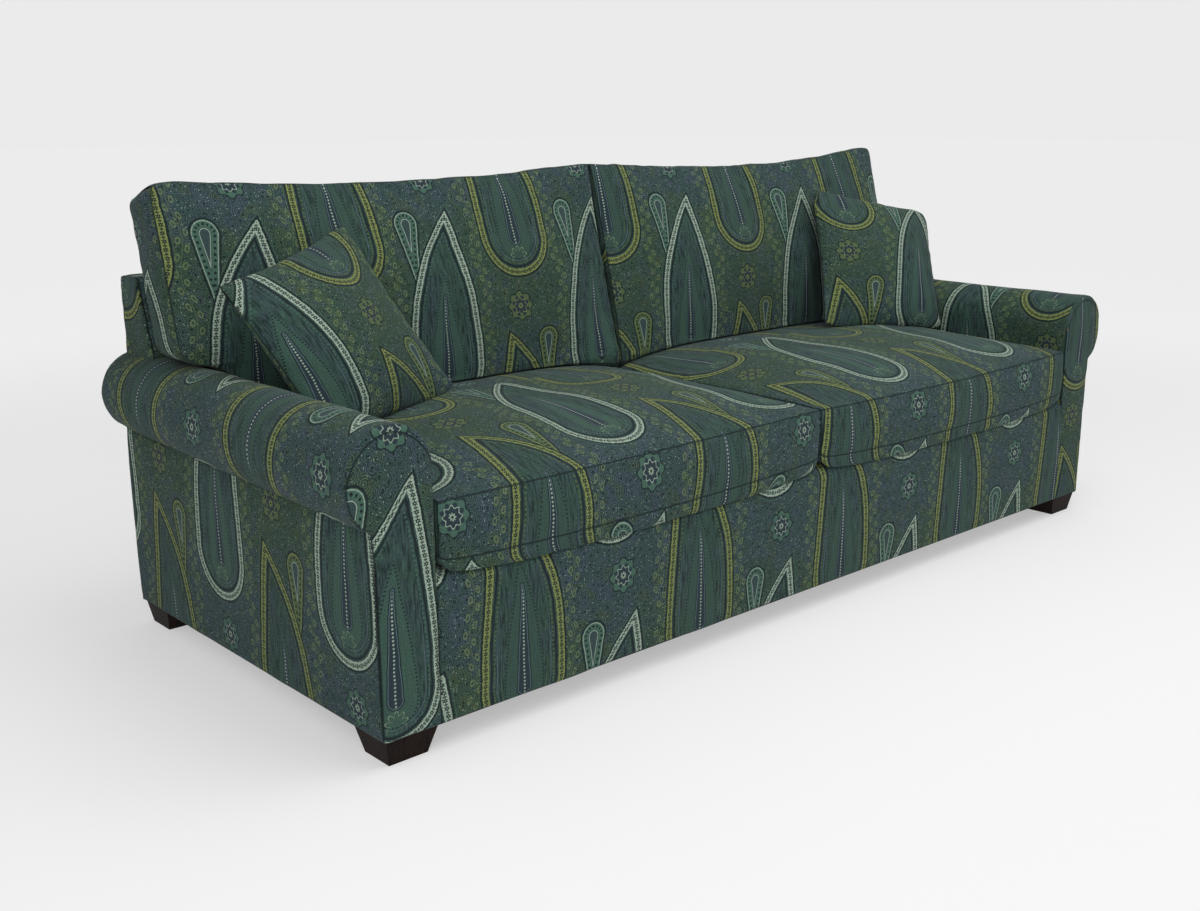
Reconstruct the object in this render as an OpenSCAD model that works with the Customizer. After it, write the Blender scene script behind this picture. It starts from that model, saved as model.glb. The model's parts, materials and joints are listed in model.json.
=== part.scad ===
// Three-seater sofa with rolled arms, loose seat and back cushions and two throw pillows.
// Millimetres, +Z up, front towards -Y, left is -X. The origin is on the floor under the middle of the base.

/* [Base] */
// Width of the base across the outside arm panels
base_w = 2200; // [2000:10:2500]
// Depth of the base from front panel to rear panel
base_d = 929; // [900:1:1000]
// Height of the visible feet
foot_h = 49; // [35:1:90]
// Height of the hardwood rails of the base
rail_h = 211; // [190:1:240]
// Thickness of the hardwood rails
rail_t = 28; // [22:1:34]
// Thickness of each upholstery cover with its lining
cover_t = 3; // [2:0.5:4]
// Thickness of the dust cover under the base
dust_t = 2; // [1:0.5:3]
// Length of the corner blocks along each rail
block_leg = 130; // [110:5:160]
// Height of the corner blocks
block_h = 50; // [40:1:70]

/* [Feet] */
// Width of a foot at its top
foot_top_w = 105; // [90:1:120]
// Depth of a foot at its top
foot_top_d = 100; // [85:1:115]
// Width of a foot at the floor
foot_low_w = 78; // [60:1:88]
// Depth of a foot at the floor
foot_low_d = 73; // [60:1:83]
// Distance from the corner of the base to the top of a foot
foot_inset = 7; // [4:1:14]
// Distance from the corner of the base to the bottom of a foot
foot_low_inset = 16; // [12:1:24]
// Diameter of the bolt that holds a foot
bolt_d = 8; // [6:0.5:10]
// Length of the bolt that holds a foot
bolt_len = 74; // [66:1:80]

/* [Seat deck] */
// Diameter of the zigzag spring wire
wire_d = 4; // [3:0.5:5]
// Number of seat springs, an even number that clears the middle post of the back
seat_spring_count = 12; // [8:2:16]
// Number of back springs
back_spring_count = 9; // [5:1:13]
// Width of a zigzag spring
spring_w = 52; // [40:1:60]
// Length of one half wave of a spring
spring_pitch = 26; // [22:1:32]
// Thickness of the felt sheet on the springs
felt_t = 4; // [2:0.5:6]
// Thickness of the deck padding
deck_pad_t = 45; // [35:1:55]
// Radius of the padded front lip
lip_r = 34; // [24:1:40]
// Thickness of the padding in front of the front rail
front_pad_t = 20; // [14:1:26]
// Depth of the lip from the front panel to the seam of the deck cover
lip_d = 60; // [52:1:80]

/* [Arms] */
// Width of an arm panel
arm_w = 117; // [100:1:130]
// Height of the top of the arm roll
arm_h = 580; // [550:1:620]
// Radius of the arm roll
roll_r = 81; // [72:1:88]
// Thickness of the plywood arm facings
facing_t = 20; // [15:1:24]
// Thickness of the foam on the inside of an arm
arm_foam_t = 32; // [22:1:38]
// Width of the rail inside the arm roll
arm_rail_w = 60; // [50:1:66]
// Height of the rail inside the arm roll
arm_rail_h = 40; // [30:1:46]

/* [Back] */
// Height of the top of the back frame
back_h = 735; // [710:1:780]
// Thickness of the back at its top
back_t = 75; // [66:1:90]
// Lean of the inside of the back in degrees
back_lean = 17; // [13:0.5:19]
// Distance from the side of the base to the side of the back
back_inset = 16; // [10:1:24]
// Radius along the top edges of the back
back_r = 14; // [8:1:22]
// Thickness of the foam on the inside of the back
back_foam_t = 30; // [22:1:34]
// Height of the top rail of the back
back_rail_h = 70; // [50:1:85]
// Thickness of the back posts
post_t = 24; // [18:1:28]

/* [Seat cushions] */
// Height of the boxing of a seat cushion
seat_box_h = 126; // [100:1:150]
// Rise of the crown of a seat cushion
seat_crown = 42; // [30:1:48]
// Bulge of the front boxing of a seat cushion
seat_bulge = 12; // [5:1:18]
// Distance from the front panel back to the front seam of a seat cushion
seat_setback = 10; // [6:1:40]
// Thickness of the foam slab in a seat cushion
seat_foam_t = 100; // [80:1:110]

/* [Back cushions] */
// Height of the raised top corners of a back cushion above the floor
back_cushion_h = 926; // [900:1:970]
// Width of the boxing between the front and rear seams of a back cushion
back_box_t = 102; // [85:1:120]
// Distance from the inside of the back to the front seam at the foot of a back cushion
back_low_reach = 153; // [142:1:170]
// Distance from the inside of the back to the front seam at the top of a back cushion
back_top_reach = 177; // [165:1:190]
// Rise of the crown on the front of a back cushion
back_crown = 27; // [15:1:35]
// Dip of the top edge between the raised corners
top_dip = 20; // [8:1:30]
// Reach of the ear of a back cushion over the arm, from the inside face of the arm
ear_reach = 114; // [100:1:125]
// Thickness of the fibre slab in a back cushion
back_fill_t = 70; // [60:1:80]

/* [Throw pillows] */
// Side of a throw pillow along its inner edge
pillow_side = 390; // [350:5:410]
// Width of a throw pillow along its foot
pillow_w = 386; // [350:1:410]
// Length that the outer edge loses where it is squashed against the arm
pillow_squash = 60; // [40:5:80]
// Thickness of a throw pillow at its middle
pillow_t = 130; // [90:5:140]
// Turn of a throw pillow towards the middle of the sofa in degrees
pillow_turn = 17; // [10:1:24]
// Lean of a throw pillow backwards in degrees
pillow_lean = 28; // [24:1:34]
// Slump of a throw pillow outwards over the arm in degrees
pillow_slump = 23; // [18:1:28]
// Rise of the inner bottom corner of a throw pillow
pillow_lift = 20; // [10:1:38]

/* [Zips] */
// Length of a zip
zip_len = 740; // [600:10:800]
// Width of the zip tape
zip_tape_w = 20; // [16:1:24]
// Width of the zip chain
zip_chain_w = 6; // [5:0.5:7]
// Length of a zip slider
slider_len = 16; // [12:1:20]

/* [Clearances] */
// Gap between a loose cushion and what it rests on
rest_gap = 0.6; // [0.4:0.1:1]
// Gap between the crown of a seat cushion and what stands on it
crown_gap = 1.8; // [1.6:0.1:2.4]
// Gap between a loose cushion and its neighbours at the sides
side_gap = 4; // [3:0.5:6]
// Gap between a filling and the inside of its cover
fill_gap = 0.3; // [0.2:0.1:0.5]
// Gap between cut cloth edges and what they pass
cut_gap = 0.3; // [0.2:0.1:0.5]
// Gap between a throw pillow and the back cushion behind it
pillow_gap = 26; // [22:1:32]

/* [Hidden] */
$fn = 64;

cloth = [0.16, 0.27, 0.26];
wood = [0.74, 0.58, 0.38];
espresso = [0.13, 0.08, 0.06];
foam = [0.93, 0.87, 0.66];
steel = [0.62, 0.63, 0.65];
felt = [0.45, 0.45, 0.43];
black_cloth = [0.08, 0.08, 0.09];

half_w = base_w / 2;
half_d = base_d / 2;
inner_d = half_d - cover_t;
arm_in = half_w - arm_w;
roll_x = arm_in + roll_r;
roll_z = arm_h - roll_r;
panel_x = half_w - cover_t;
frame_z = foot_h + dust_t;
rail_top = frame_z + rail_h;
front_rail_y = -inner_d + front_pad_t;
side_rail_x = panel_x - rail_t;
felt_z = rail_top + wire_d;
deck_pad_z = felt_z + felt_t;
deck_z = deck_pad_z + deck_pad_t + cover_t;
back_w = half_w - back_inset;
post_x = back_w - cover_t - post_t;
// The padded back starts this far above the felt
back_low_rise = 16;
back_low_z = deck_pad_z + back_low_rise;
join_z = roll_z - sqrt(roll_r * roll_r - pow(panel_x - roll_x, 2));

seat_low = deck_z + rest_gap;
seat_seam = seat_low + seat_box_h;
seat_x0 = side_gap / 2;
seat_x1 = arm_in - side_gap;
seat_y0 = -half_d + seat_setback;
seat_y1 = face_y(deck_z) - side_gap;

// Thickness of the soft wrap between a cover and its slab
wrap = 14;
back_x1 = arm_in + ear_reach;

// Y of the inside of the back at height z
function face_y(z) = half_d - back_t - (back_h - z) * tan(back_lean);
// Share of the way from a to b
function mix(a, b, t) = a + (b - a) * t;
// Steps from 0 to 1 that are finer near both ends
function eased(i, n) = (1 - cos(180 * i / n)) / 2;
// Height of a crown that is flat in the middle and falls to its seams
function dome(t) = 1 - pow(abs(2 * t - 1), 4);
function clamp(t) = min(1, max(0, t));
// Height of the top of a seat cushion at a place on the right half
function seat_top(x, y) = seat_seam + seat_crown
    * dome(clamp((x - seat_x0) / (seat_x1 - seat_x0))) * dome(clamp((y - seat_y0) / (seat_y1 - seat_y0)));

// Places its children on the right and mirrors them for the left
module side(left) { mirror([left ? 1 : 0, 0, 0]) children(); }
module block(low, high) { translate(low) cube(high - low); }
// Extrudes a profile drawn as [x, z] from y0 to y1
module along_y(y0, y1) {
    translate([0, y1, 0]) rotate([90, 0, 0]) linear_extrude(y1 - y0) children();
}
// Extrudes a profile drawn as [y, z] from x0 to x1
module along_x(x0, x1) {
    translate([x0, 0, 0]) rotate([90, 0, 90]) linear_extrude(x1 - x0) children();
}
// Frame of the inside of the back: Y runs square into the back, Z runs up its slope
module on_back() {
    translate([0, face_y(back_h), back_h]) rotate([-back_lean, 0, 0]) children();
}

// Base frame

front_corner_y = front_rail_y + rail_t;
rear_corner_y = inner_d - rail_t;

module front_rail() {
    color(wood) block([-panel_x, front_rail_y, frame_z], [panel_x, front_rail_y + rail_t, rail_top]);
}
module rear_rail() {
    color(wood) block([-panel_x, inner_d - rail_t, frame_z], [panel_x, inner_d, rail_top]);
}
module side_rail(left) {
    color(wood) side(left)
        block([side_rail_x, front_corner_y, frame_z], [panel_x, rear_corner_y, rail_top]);
}
// Room that the springs have to sag above the centre rail
spring_sag = 60;
module centre_rail() {
    color(wood)
        block([-rail_t / 2, front_corner_y, frame_z], [rail_t / 2, rear_corner_y, rail_top - spring_sag]);
}

bolt_from_block = 30;
front_bolt_y = front_corner_y + bolt_from_block;
rear_bolt_y = rear_corner_y - bolt_from_block;
bolt_x = side_rail_x - bolt_from_block;
nut_r = bolt_d / 2 + 2;
nut_len = 14;
nut_flange_w = 5;
nut_flange_t = 2;
bolt_hole_d = bolt_d + 2 * cut_gap;

// Repeats its children at the four bolts, moved there
module at_bolts() {
    for (left = [false, true]) side(left) {
        translate([bolt_x, front_bolt_y, 0]) children();
        translate([bolt_x, rear_bolt_y, 0]) children();
    }
}
module corner_block(y, turn) {
    difference() {
        translate([side_rail_x, y, frame_z]) linear_extrude(block_h)
            polygon([[0, 0], [-block_leg, 0], [0, turn * block_leg]]);
        translate([bolt_x, y + turn * bolt_from_block, frame_z - 1])
            cylinder(r = nut_r + cut_gap, h = block_h + 2);
    }
}
module corner_blocks() {
    color(wood) for (left = [false, true]) side(left) {
        corner_block(front_corner_y, 1);
        corner_block(rear_corner_y, -1);
    }
}

// Feet and their bolts

bolt_depth = 24;
bolt_low = foot_h - bolt_depth;
module foot(left, rear) {
    top_x = half_w - foot_inset;
    top_y = half_d - foot_inset;
    low_x = half_w - foot_low_inset;
    low_y = half_d - foot_low_inset;
    top = [[top_x - foot_top_w, top_y - foot_top_d], [top_x, top_y - foot_top_d],
        [top_x, top_y], [top_x - foot_top_w, top_y]];
    low = [[low_x - foot_low_w, low_y - foot_low_d], [low_x, low_y - foot_low_d],
        [low_x, low_y], [low_x - foot_low_w, low_y]];
    color(espresso) side(left) difference() {
        mirror([0, rear ? 0 : 1, 0]) polyhedron(
            points = concat([for (p = low) [p[0], p[1], 0]], [for (p = top) [p[0], p[1], foot_h]]),
            faces = [[0, 1, 2, 3], [7, 6, 5, 4], [0, 4, 5, 1], [1, 5, 6, 2], [2, 6, 7, 3], [3, 7, 4, 0]]);
        translate([bolt_x, rear ? rear_bolt_y : front_bolt_y, bolt_low])
            cylinder(d = bolt_hole_d, h = foot_h);
    }
}
module foot_bolts() {
    color(steel) at_bolts() translate([0, 0, bolt_low]) cylinder(d = bolt_d, h = bolt_len);
}
module foot_nuts() {
    nut_z = frame_z + block_h;
    color(steel) at_bolts() difference() {
        union() {
            translate([0, 0, nut_z - nut_len]) cylinder(r = nut_r, h = nut_len);
            translate([0, 0, nut_z]) cylinder(r = nut_r + nut_flange_w, h = nut_flange_t);
        }
        translate([0, 0, nut_z - nut_len - 1]) cylinder(d = bolt_hole_d, h = nut_len + nut_flange_t + 2);
    }
}
module dust_cover() {
    color(black_cloth) difference() {
        block([-panel_x, -inner_d, foot_h], [panel_x, inner_d, frame_z]);
        at_bolts() translate([0, 0, foot_h - 1]) cylinder(d = bolt_hole_d, h = dust_t + 2);
    }
}

// Springs

// Outline of a zigzag spring along +X from 0, with whole half waves
function zigzag(count, w, pitch, t) = let (
    leg = w / 2 - pitch / 2,
    turn = [for (k = [0:count - 1]) for (a = [-90, -30, 30, 90]) [k, a]],
    path = [for (q = turn) let (up = q[0] % 2 == 0 ? 1 : -1)
        [pitch * (q[0] + 0.5 + sin(q[1]) / 2), up * (leg + cos(q[1]) * pitch / 2), up, q[1]]],
    outer = [for (p = path) [p[0] + sin(p[3]) * t / 2, p[1] + p[2] * cos(p[3]) * t / 2]],
    inner = [for (p = path) [p[0] - sin(p[3]) * t / 2, p[1] - p[2] * cos(p[3]) * t / 2]],
    one = [for (i = [0:len(path) - 1]) path[i][2] > 0 ? outer[i] : inner[i]],
    two = [for (i = [0:len(path) - 1]) path[i][2] > 0 ? inner[i] : outer[i]]
) concat(one, [for (i = [len(two) - 1:-1:0]) two[i]]);

clip_len = 26;
clip_w = 22;
clip_edge = 2;
seat_span = rear_corner_y + rail_t / 2 - (front_corner_y - rail_t / 2);
seat_wave_count = floor((seat_span - 2 * clip_len) / spring_pitch);
seat_spring_y = (front_corner_y + rear_corner_y) / 2 - seat_wave_count * spring_pitch / 2;
seat_spring_gap = 2 * (post_x - spring_w) / seat_spring_count;

module at_seat_springs() {
    for (k = [0:seat_spring_count - 1])
        translate([(k - (seat_spring_count - 1) / 2) * seat_spring_gap, 0, rail_top]) children();
}
module seat_springs() {
    color(steel) at_seat_springs() translate([0, seat_spring_y, 0]) rotate([0, 0, 90])
        linear_extrude(wire_d) polygon(zigzag(seat_wave_count, spring_w, spring_pitch, wire_d));
}
module seat_spring_clips() {
    low = seat_spring_y;
    high = seat_spring_y + seat_wave_count * spring_pitch;
    color(steel) at_seat_springs() {
        block([-clip_w / 2, front_rail_y + clip_edge, 0], [clip_w / 2, low - wire_d / 2, wire_d]);
        block([-clip_w / 2, high + wire_d / 2, 0], [clip_w / 2, inner_d - clip_edge, wire_d]);
    }
}

// Back frame, drawn square to the slope of the back

back_skin = cover_t + back_foam_t;
spring_o = back_skin + wire_d;
slope_low = -(back_h - back_low_z) / cos(back_lean);
slope_top = -back_skin / cos(back_lean) - back_r;
low_rail_h = 55;
back_clip_len = 20;

module back_post(left) {
    o = spring_o / cos(back_lean);
    rear = inner_d - facing_t;
    top = back_h - back_skin;
    color(wood) side(left) along_x(post_x, post_x + post_t)
        polygon([[face_y(rail_top) + o, rail_top], [face_y(top) + o, top], [rear, top], [rear, rail_top]]);
}
module back_centre_post() {
    o = (spring_o + rail_t) / cos(back_lean);
    top = back_h - back_skin - back_rail_h;
    color(wood) along_x(-rail_t / 2, rail_t / 2)
        polygon([[face_y(rail_top) + o, rail_top], [face_y(top) + o, top],
            [inner_d, top], [inner_d, rail_top]]);
}
module back_top_rail() {
    top = back_h - back_skin;
    low = top - back_rail_h;
    o = spring_o / cos(back_lean);
    color(wood) along_x(-post_x, post_x)
        polygon([[face_y(low) + o, low], [face_y(top) + o, top], [inner_d, top], [inner_d, low]]);
}
module back_low_rail() {
    color(wood) on_back()
        block([-post_x, spring_o, slope_low], [post_x, spring_o + rail_t, slope_low + low_rail_h]);
}

back_spring_low = slope_low + (low_rail_h + back_clip_len) / 2;
back_spring_high = slope_top - back_rail_h / 2;
back_wave_count = floor((back_spring_high - back_spring_low) / spring_pitch);
back_spring_end = back_spring_low + back_wave_count * spring_pitch;
back_spring_gap = 2 * (arm_in - 2 * spring_w) / back_spring_count;

module at_back_springs() {
    on_back() for (k = [0:back_spring_count - 1])
        translate([(k - (back_spring_count - 1) / 2) * back_spring_gap, back_skin, 0]) children();
}
module back_springs() {
    color(steel) at_back_springs() translate([0, wire_d, back_spring_low]) rotate([90, -90, 0])
        linear_extrude(wire_d) polygon(zigzag(back_wave_count, spring_w, spring_pitch, wire_d));
}
module back_spring_clips() {
    color(steel) at_back_springs() {
        block([-clip_w / 2, 0, back_spring_low - back_clip_len],
            [clip_w / 2, wire_d, back_spring_low - wire_d / 2]);
        block([-clip_w / 2, 0, back_spring_end + wire_d / 2],
            [clip_w / 2, wire_d, back_spring_end + back_clip_len]);
    }
}

// Arms. The outline of an arm is a panel with a round roll on top, tangent to its inside face

module arm_panel(o, low) {
    translate([arm_in + o, low]) square([panel_x + cover_t - arm_in - 2 * o, roll_z - low]);
}
module arm_roll(o) { translate([roll_x, roll_z]) circle(r = roll_r - o); }
module arm_outline(o, low) {
    union() {
        arm_panel(o, low);
        arm_roll(o);
    }
}
module arm_front(left) {
    color(wood) side(left) along_y(-inner_d, -inner_d + facing_t) arm_outline(cover_t, frame_z);
}
module arm_rear(left) {
    color(wood) side(left) along_y(inner_d - facing_t, inner_d) arm_outline(cover_t, rail_top);
}

arm_rail_y1 = face_y(roll_z - arm_rail_h / 2) + spring_o / cos(back_lean);
module arm_rail_section() {
    translate([roll_x - arm_rail_w / 2, roll_z - arm_rail_h / 2]) square([arm_rail_w, arm_rail_h]);
}
module arm_top_rail(left) {
    color(wood) side(left) along_y(-inner_d + facing_t, arm_rail_y1) arm_rail_section();
}
// Room that the low back rail takes in the inside of an arm
notch_reach = 60;
module low_rail_notch() {
    on_back() block([arm_in - 1, spring_o - 1, slope_low - notch_reach],
        [half_w, spring_o + rail_t + notch_reach, slope_low + low_rail_h + 1]);
}
// The arm padding stops in front of the posts of the back
arm_pad_y1 = face_y(roll_z - roll_r) + spring_o / cos(back_lean) - side_gap;
module arm_pad(left) {
    color(foam) side(left) difference() {
        along_y(-inner_d + facing_t, arm_pad_y1) difference() {
            union() {
                arm_roll(cover_t);
                translate([arm_in + cover_t, deck_pad_z]) square([arm_foam_t, roll_z - deck_pad_z]);
            }
            arm_rail_section();
        }
        low_rail_notch();
    }
}

module arm_front_cover(left) {
    color(cloth) side(left) along_y(-half_d, -inner_d) arm_outline(0, foot_h);
}
module arm_outside_cover(left) {
    color(cloth) side(left) block([panel_x, -inner_d, foot_h], [half_w, inner_d, join_z]);
}
module arm_inside_cover(left) {
    slot = post_x - cut_gap;
    color(cloth) side(left) difference() {
        along_y(-inner_d, inner_d) difference() {
            union() {
                arm_roll(0);
                translate([arm_in, deck_pad_z]) square([roll_r, roll_z - deck_pad_z]);
            }
            arm_roll(cover_t);
            translate([arm_in + cover_t, deck_pad_z - 1])
                square([panel_x - arm_in - cover_t, roll_z - deck_pad_z + 1]);
        }
        block([slot, face_y(arm_h) + back_skin, arm_h - roll_r / 2],
            [slot + post_t + 2 * cut_gap, inner_d + 1, arm_h + 1]);
        low_rail_notch();
    }
}

// Seat deck and front lip

deck_y0 = -half_d + lip_d;
deck_y1 = face_y(deck_pad_z) - cut_gap;
deck_x = arm_in - cut_gap;

// Outline of the front lip, o in from its face, as [y, z]
function lip_face(o, low) = concat([[-half_d + o, low]],
    [for (a = [180:-15:90]) [-half_d + lip_r + (lip_r - o) * cos(a), deck_z - lip_r + (lip_r - o) * sin(a)]]);

module spring_felt() {
    color(felt) block([-deck_x, front_rail_y, felt_z], [deck_x, deck_y1, deck_pad_z]);
}
module deck_pad() {
    color(foam) block([-deck_x, deck_y0, deck_pad_z], [deck_x, deck_y1, deck_z - cover_t]);
}
module deck_cover() {
    color(cloth) block([-deck_x, deck_y0, deck_z - cover_t], [deck_x, deck_y1, deck_z]);
}
module front_rail_pad() {
    color(foam) along_x(-deck_x, deck_x) polygon(concat(lip_face(cover_t, frame_z),
        [[deck_y0, deck_z - cover_t], [deck_y0, deck_pad_z],
            [front_rail_y, deck_pad_z], [front_rail_y, frame_z]]));
}
module front_rail_cover() {
    inside = lip_face(cover_t, foot_h);
    color(cloth) along_x(-deck_x, deck_x) polygon(concat(lip_face(0, foot_h),
        [[deck_y0, deck_z], [deck_y0, deck_z - cover_t]], [for (i = [len(inside) - 1:-1:0]) inside[i]]));
}

// Padding and covers of the back

// Outline of the back from the side, o in from its faces, as [y, z]
function back_face(o, low) = let (r = back_r - o, yc = face_y(back_h - back_r) + back_r / cos(back_lean))
    concat([[face_y(low) + o / cos(back_lean), low]],
        [for (k = [0:5]) let (a = mix(180 - back_lean, 90, k / 5))
            [yc + r * cos(a), back_h - back_r + r * sin(a)]],
        [for (k = [0:5]) let (a = mix(90, 0, k / 5))
            [half_d - back_r + r * cos(a), back_h - back_r + r * sin(a)]],
        [[half_d - o, low]]);

// Cuts the room of both arms out of a piece of the back
module clear_of_arms() {
    difference() {
        children();
        for (left = [false, true]) side(left) {
            along_y(-half_d, half_d + 1) translate([roll_x, roll_z]) circle(r = roll_r + cut_gap);
            block([deck_x, -half_d, 0], [half_w + roll_r, half_d + 1, roll_z]);
        }
    }
}
module back_pad() {
    top = back_h - back_skin;
    o = back_skin / cos(back_lean);
    outside = [for (p = back_face(cover_t, back_low_z)) [min(p[0], inner_d), p[1]]];
    color(foam) clear_of_arms() along_x(-back_w + cover_t, back_w - cover_t) difference() {
        polygon(outside);
        polygon([[face_y(back_low_z - 1) + o, back_low_z - 1], [face_y(top) + o, top],
            [half_d + 1, top], [half_d + 1, back_low_z - 1]]);
    }
}
module back_inside_cover() {
    color(cloth) clear_of_arms() {
        difference() {
            along_x(-back_w, back_w) polygon(back_face(0, back_low_z));
            along_x(-back_w + cover_t, back_w - cover_t) polygon(back_face(cover_t, back_low_z - 1));
            block([-half_w, inner_d, 0], [half_w, half_d + 1, back_h + 1]);
        }
    }
}
module back_outside_cover() {
    color(cloth) along_y(inner_d, half_d) union() {
        for (m = [0, 1]) mirror([m, 0]) arm_outline(0, foot_h);
        translate([-arm_in - 1, foot_h]) square([2 * arm_in + 2, arm_h - foot_h]);
        translate([-back_w, roll_z]) square([2 * back_w, back_h - back_r - roll_z]);
    }
}

// Cushion forms

// Order of the grid places round the edge of an n by m grid
function rim(n, m) = concat([for (i = [0:n]) [i, 0]], [for (j = [1:m]) [n, j]],
    [for (i = [n - 1:-1:0]) [i, m]], [for (j = [m - 1:-1:1]) [0, j]]);

// Closed form from a face grid, a rear grid and the loops of its boxing between their rims
module grid_form(n, m, face, rear, loops) {
    size = (n + 1) * (m + 1);
    edge = rim(n, m);
    count = len(edge);
    face_at = [for (q = edge) q[1] * (n + 1) + q[0]];
    rear_at = [for (k = face_at) k + size];
    levels = concat([face_at],
        [for (l = [0:1:len(loops) - 1]) [for (k = [0:count - 1]) 2 * size + l * count + k]], [rear_at]);
    polyhedron(
        points = concat([for (j = [0:m]) for (i = [0:n]) face[j][i]],
            [for (j = [0:m]) for (i = [0:n]) rear[j][i]],
            [for (loop = loops) for (p = loop) p]),
        faces = concat(
            [for (j = [0:m - 1]) for (i = [0:n - 1]) let (k = j * (n + 1) + i) [k, k + n + 1, k + n + 2]],
            [for (j = [0:m - 1]) for (i = [0:n - 1]) let (k = j * (n + 1) + i) [k, k + n + 2, k + 1]],
            [for (j = [0:m - 1]) for (i = [0:n - 1]) let (k = size + j * (n + 1) + i)
                [k, k + n + 2, k + n + 1]],
            [for (j = [0:m - 1]) for (i = [0:n - 1]) let (k = size + j * (n + 1) + i) [k, k + 1, k + n + 2]],
            [for (l = [0:len(levels) - 2]) for (k = [0:count - 1]) let (q = (k + 1) % count)
                [levels[l][k], levels[l][q], levels[l + 1][q]]],
            [for (l = [0:len(levels) - 2]) for (k = [0:count - 1]) let (q = (k + 1) % count)
                [levels[l][k], levels[l + 1][q], levels[l + 1][k]]]));
}

// Seat cushion: the face is its crowned top, the rear its flat underside
seat_n = 16;
seat_m = 12;
boxing_steps = [0.25, 0.5, 0.75];
// Depth that the seams of a cushion draw in between its corners
seat_pull = 5;
function seat_point(u, v, top) = let (
    x = mix(seat_x0 + seat_pull * sin(180 * v), seat_x1 - seat_pull * sin(180 * v), u),
    y = mix(seat_y0 + seat_pull * sin(180 * u), seat_y1, v)
) [x, y, top ? seat_seam + seat_crown * dome(u) * dome(v) : seat_low];
module seat_form() {
    grid = function(top) [for (j = [0:seat_m]) [for (i = [0:seat_n])
        seat_point(eased(i, seat_n), eased(j, seat_m), top)]];
    face = grid(true);
    rear = grid(false);
    edge = rim(seat_n, seat_m);
    // Share of the bulge along the front, which fades just at the corners
    full = function(i) pow(sin(180 * mix(0.04, 0.96, eased(i, seat_n))), 0.3);
    loops = [for (t = boxing_steps) [for (q = edge) mix(face[q[1]][q[0]], rear[q[1]][q[0]], t)
        - [0, q[1] == 0 ? seat_bulge * sin(180 * t) * full(q[0]) : 0, 0]]];
    grid_form(seat_n, seat_m, face, rear, loops);
}
seat_foam_z = seat_low + (seat_box_h - seat_foam_t) / 2;
module seat_foam(o) {
    block([seat_x0 + wrap - o, seat_y0 + wrap - o, seat_foam_z - o],
        [seat_x1 - wrap + o, seat_y1 - wrap + o, seat_foam_z + seat_foam_t + o]);
}

// Zip chain with its tape along X, lying on the plane z = 0 and facing +Z
zip_chain_t = 2.4;
zip_tape_t = 0.8;
zip_stop = 4;
zip_stop_t = 1.6;
slider_gap = 0.4;
slider_wall = 2;
slider_w = zip_chain_w + 2 * (slider_gap + slider_wall) + 1;
puller_w = 5;
puller_t = 1.5;
puller_out = 14;
module zip_chain() {
    block([-zip_len / 2, -zip_tape_w / 2, 0], [zip_len / 2, zip_tape_w / 2, zip_tape_t]);
    block([-zip_len / 2, -zip_chain_w / 2, zip_tape_t], [zip_len / 2, zip_chain_w / 2, zip_chain_t]);
    for (end = [-1, 1]) translate([end * (zip_len - zip_stop) / 2, 0, 0])
        block([-zip_stop / 2, -zip_chain_w / 2, zip_tape_t],
            [zip_stop / 2, zip_chain_w / 2, zip_chain_t + zip_stop_t]);
}
// Distance from the middle of a zip to its closed slider
slider_x = zip_len / 2 - zip_stop - slider_len / 2 - slider_gap;
module zip_slider() {
    low = zip_tape_t + slider_gap;
    bridge = zip_chain_t + slider_gap;
    top = bridge + slider_wall;
    translate([slider_x, 0, 0]) color(steel) {
        difference() {
            block([-slider_len / 2, -slider_w / 2, low], [slider_len / 2, slider_w / 2, top]);
            block([-slider_len, -zip_chain_w / 2 - slider_gap, -1],
                [slider_len, zip_chain_w / 2 + slider_gap, bridge]);
        }
        block([-slider_len / 2 - puller_out, -puller_w / 2, top],
            [slider_len / 4, puller_w / 2, top + puller_t]);
    }
}

seat_mid_x = (seat_x0 + seat_x1) / 2;
module on_seat_rear() {
    translate([seat_mid_x, seat_y1, seat_low + seat_box_h / 2]) rotate([-90, 0, 0]) children();
}
module seat_cushion_cover(left) {
    color(cloth) side(left) {
        difference() {
            seat_form();
            seat_foam(fill_gap);
        }
        on_seat_rear() zip_chain();
    }
}
module seat_cushion_foam(left) { color(foam) side(left) seat_foam(0); }
module seat_zip_slider(left) { side(left) on_seat_rear() zip_slider(); }

// Back cushion: the face is its crowned front, the rear lies on the inside of the back
back_n = 16;
boxing_bulge = 5;
back_x0 = seat_x0;
back_foot_y = face_y(seat_seam) - rest_gap - back_low_reach / cos(back_lean);
back_foot_z = seat_top(seat_mid_x, back_foot_y) + crown_gap;
roll_clear = roll_r + side_gap;
// Rows that follow the arm roll, at least a little above the foot
roll_rows = [for (k = [0:4]) max(back_foot_z + side_gap * (k + 1), roll_z + roll_clear * sin(k * 90 / 4))];
ear_low = roll_rows[4] + 2 * side_gap;
ear_row_count = 8;
ear_rows = [for (k = [1:ear_row_count]) mix(ear_low, back_cushion_h, eased(k, ear_row_count))];
back_rows = concat([back_foot_z], roll_rows, [ear_low], ear_rows);
back_m = len(back_rows) - 1;
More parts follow.
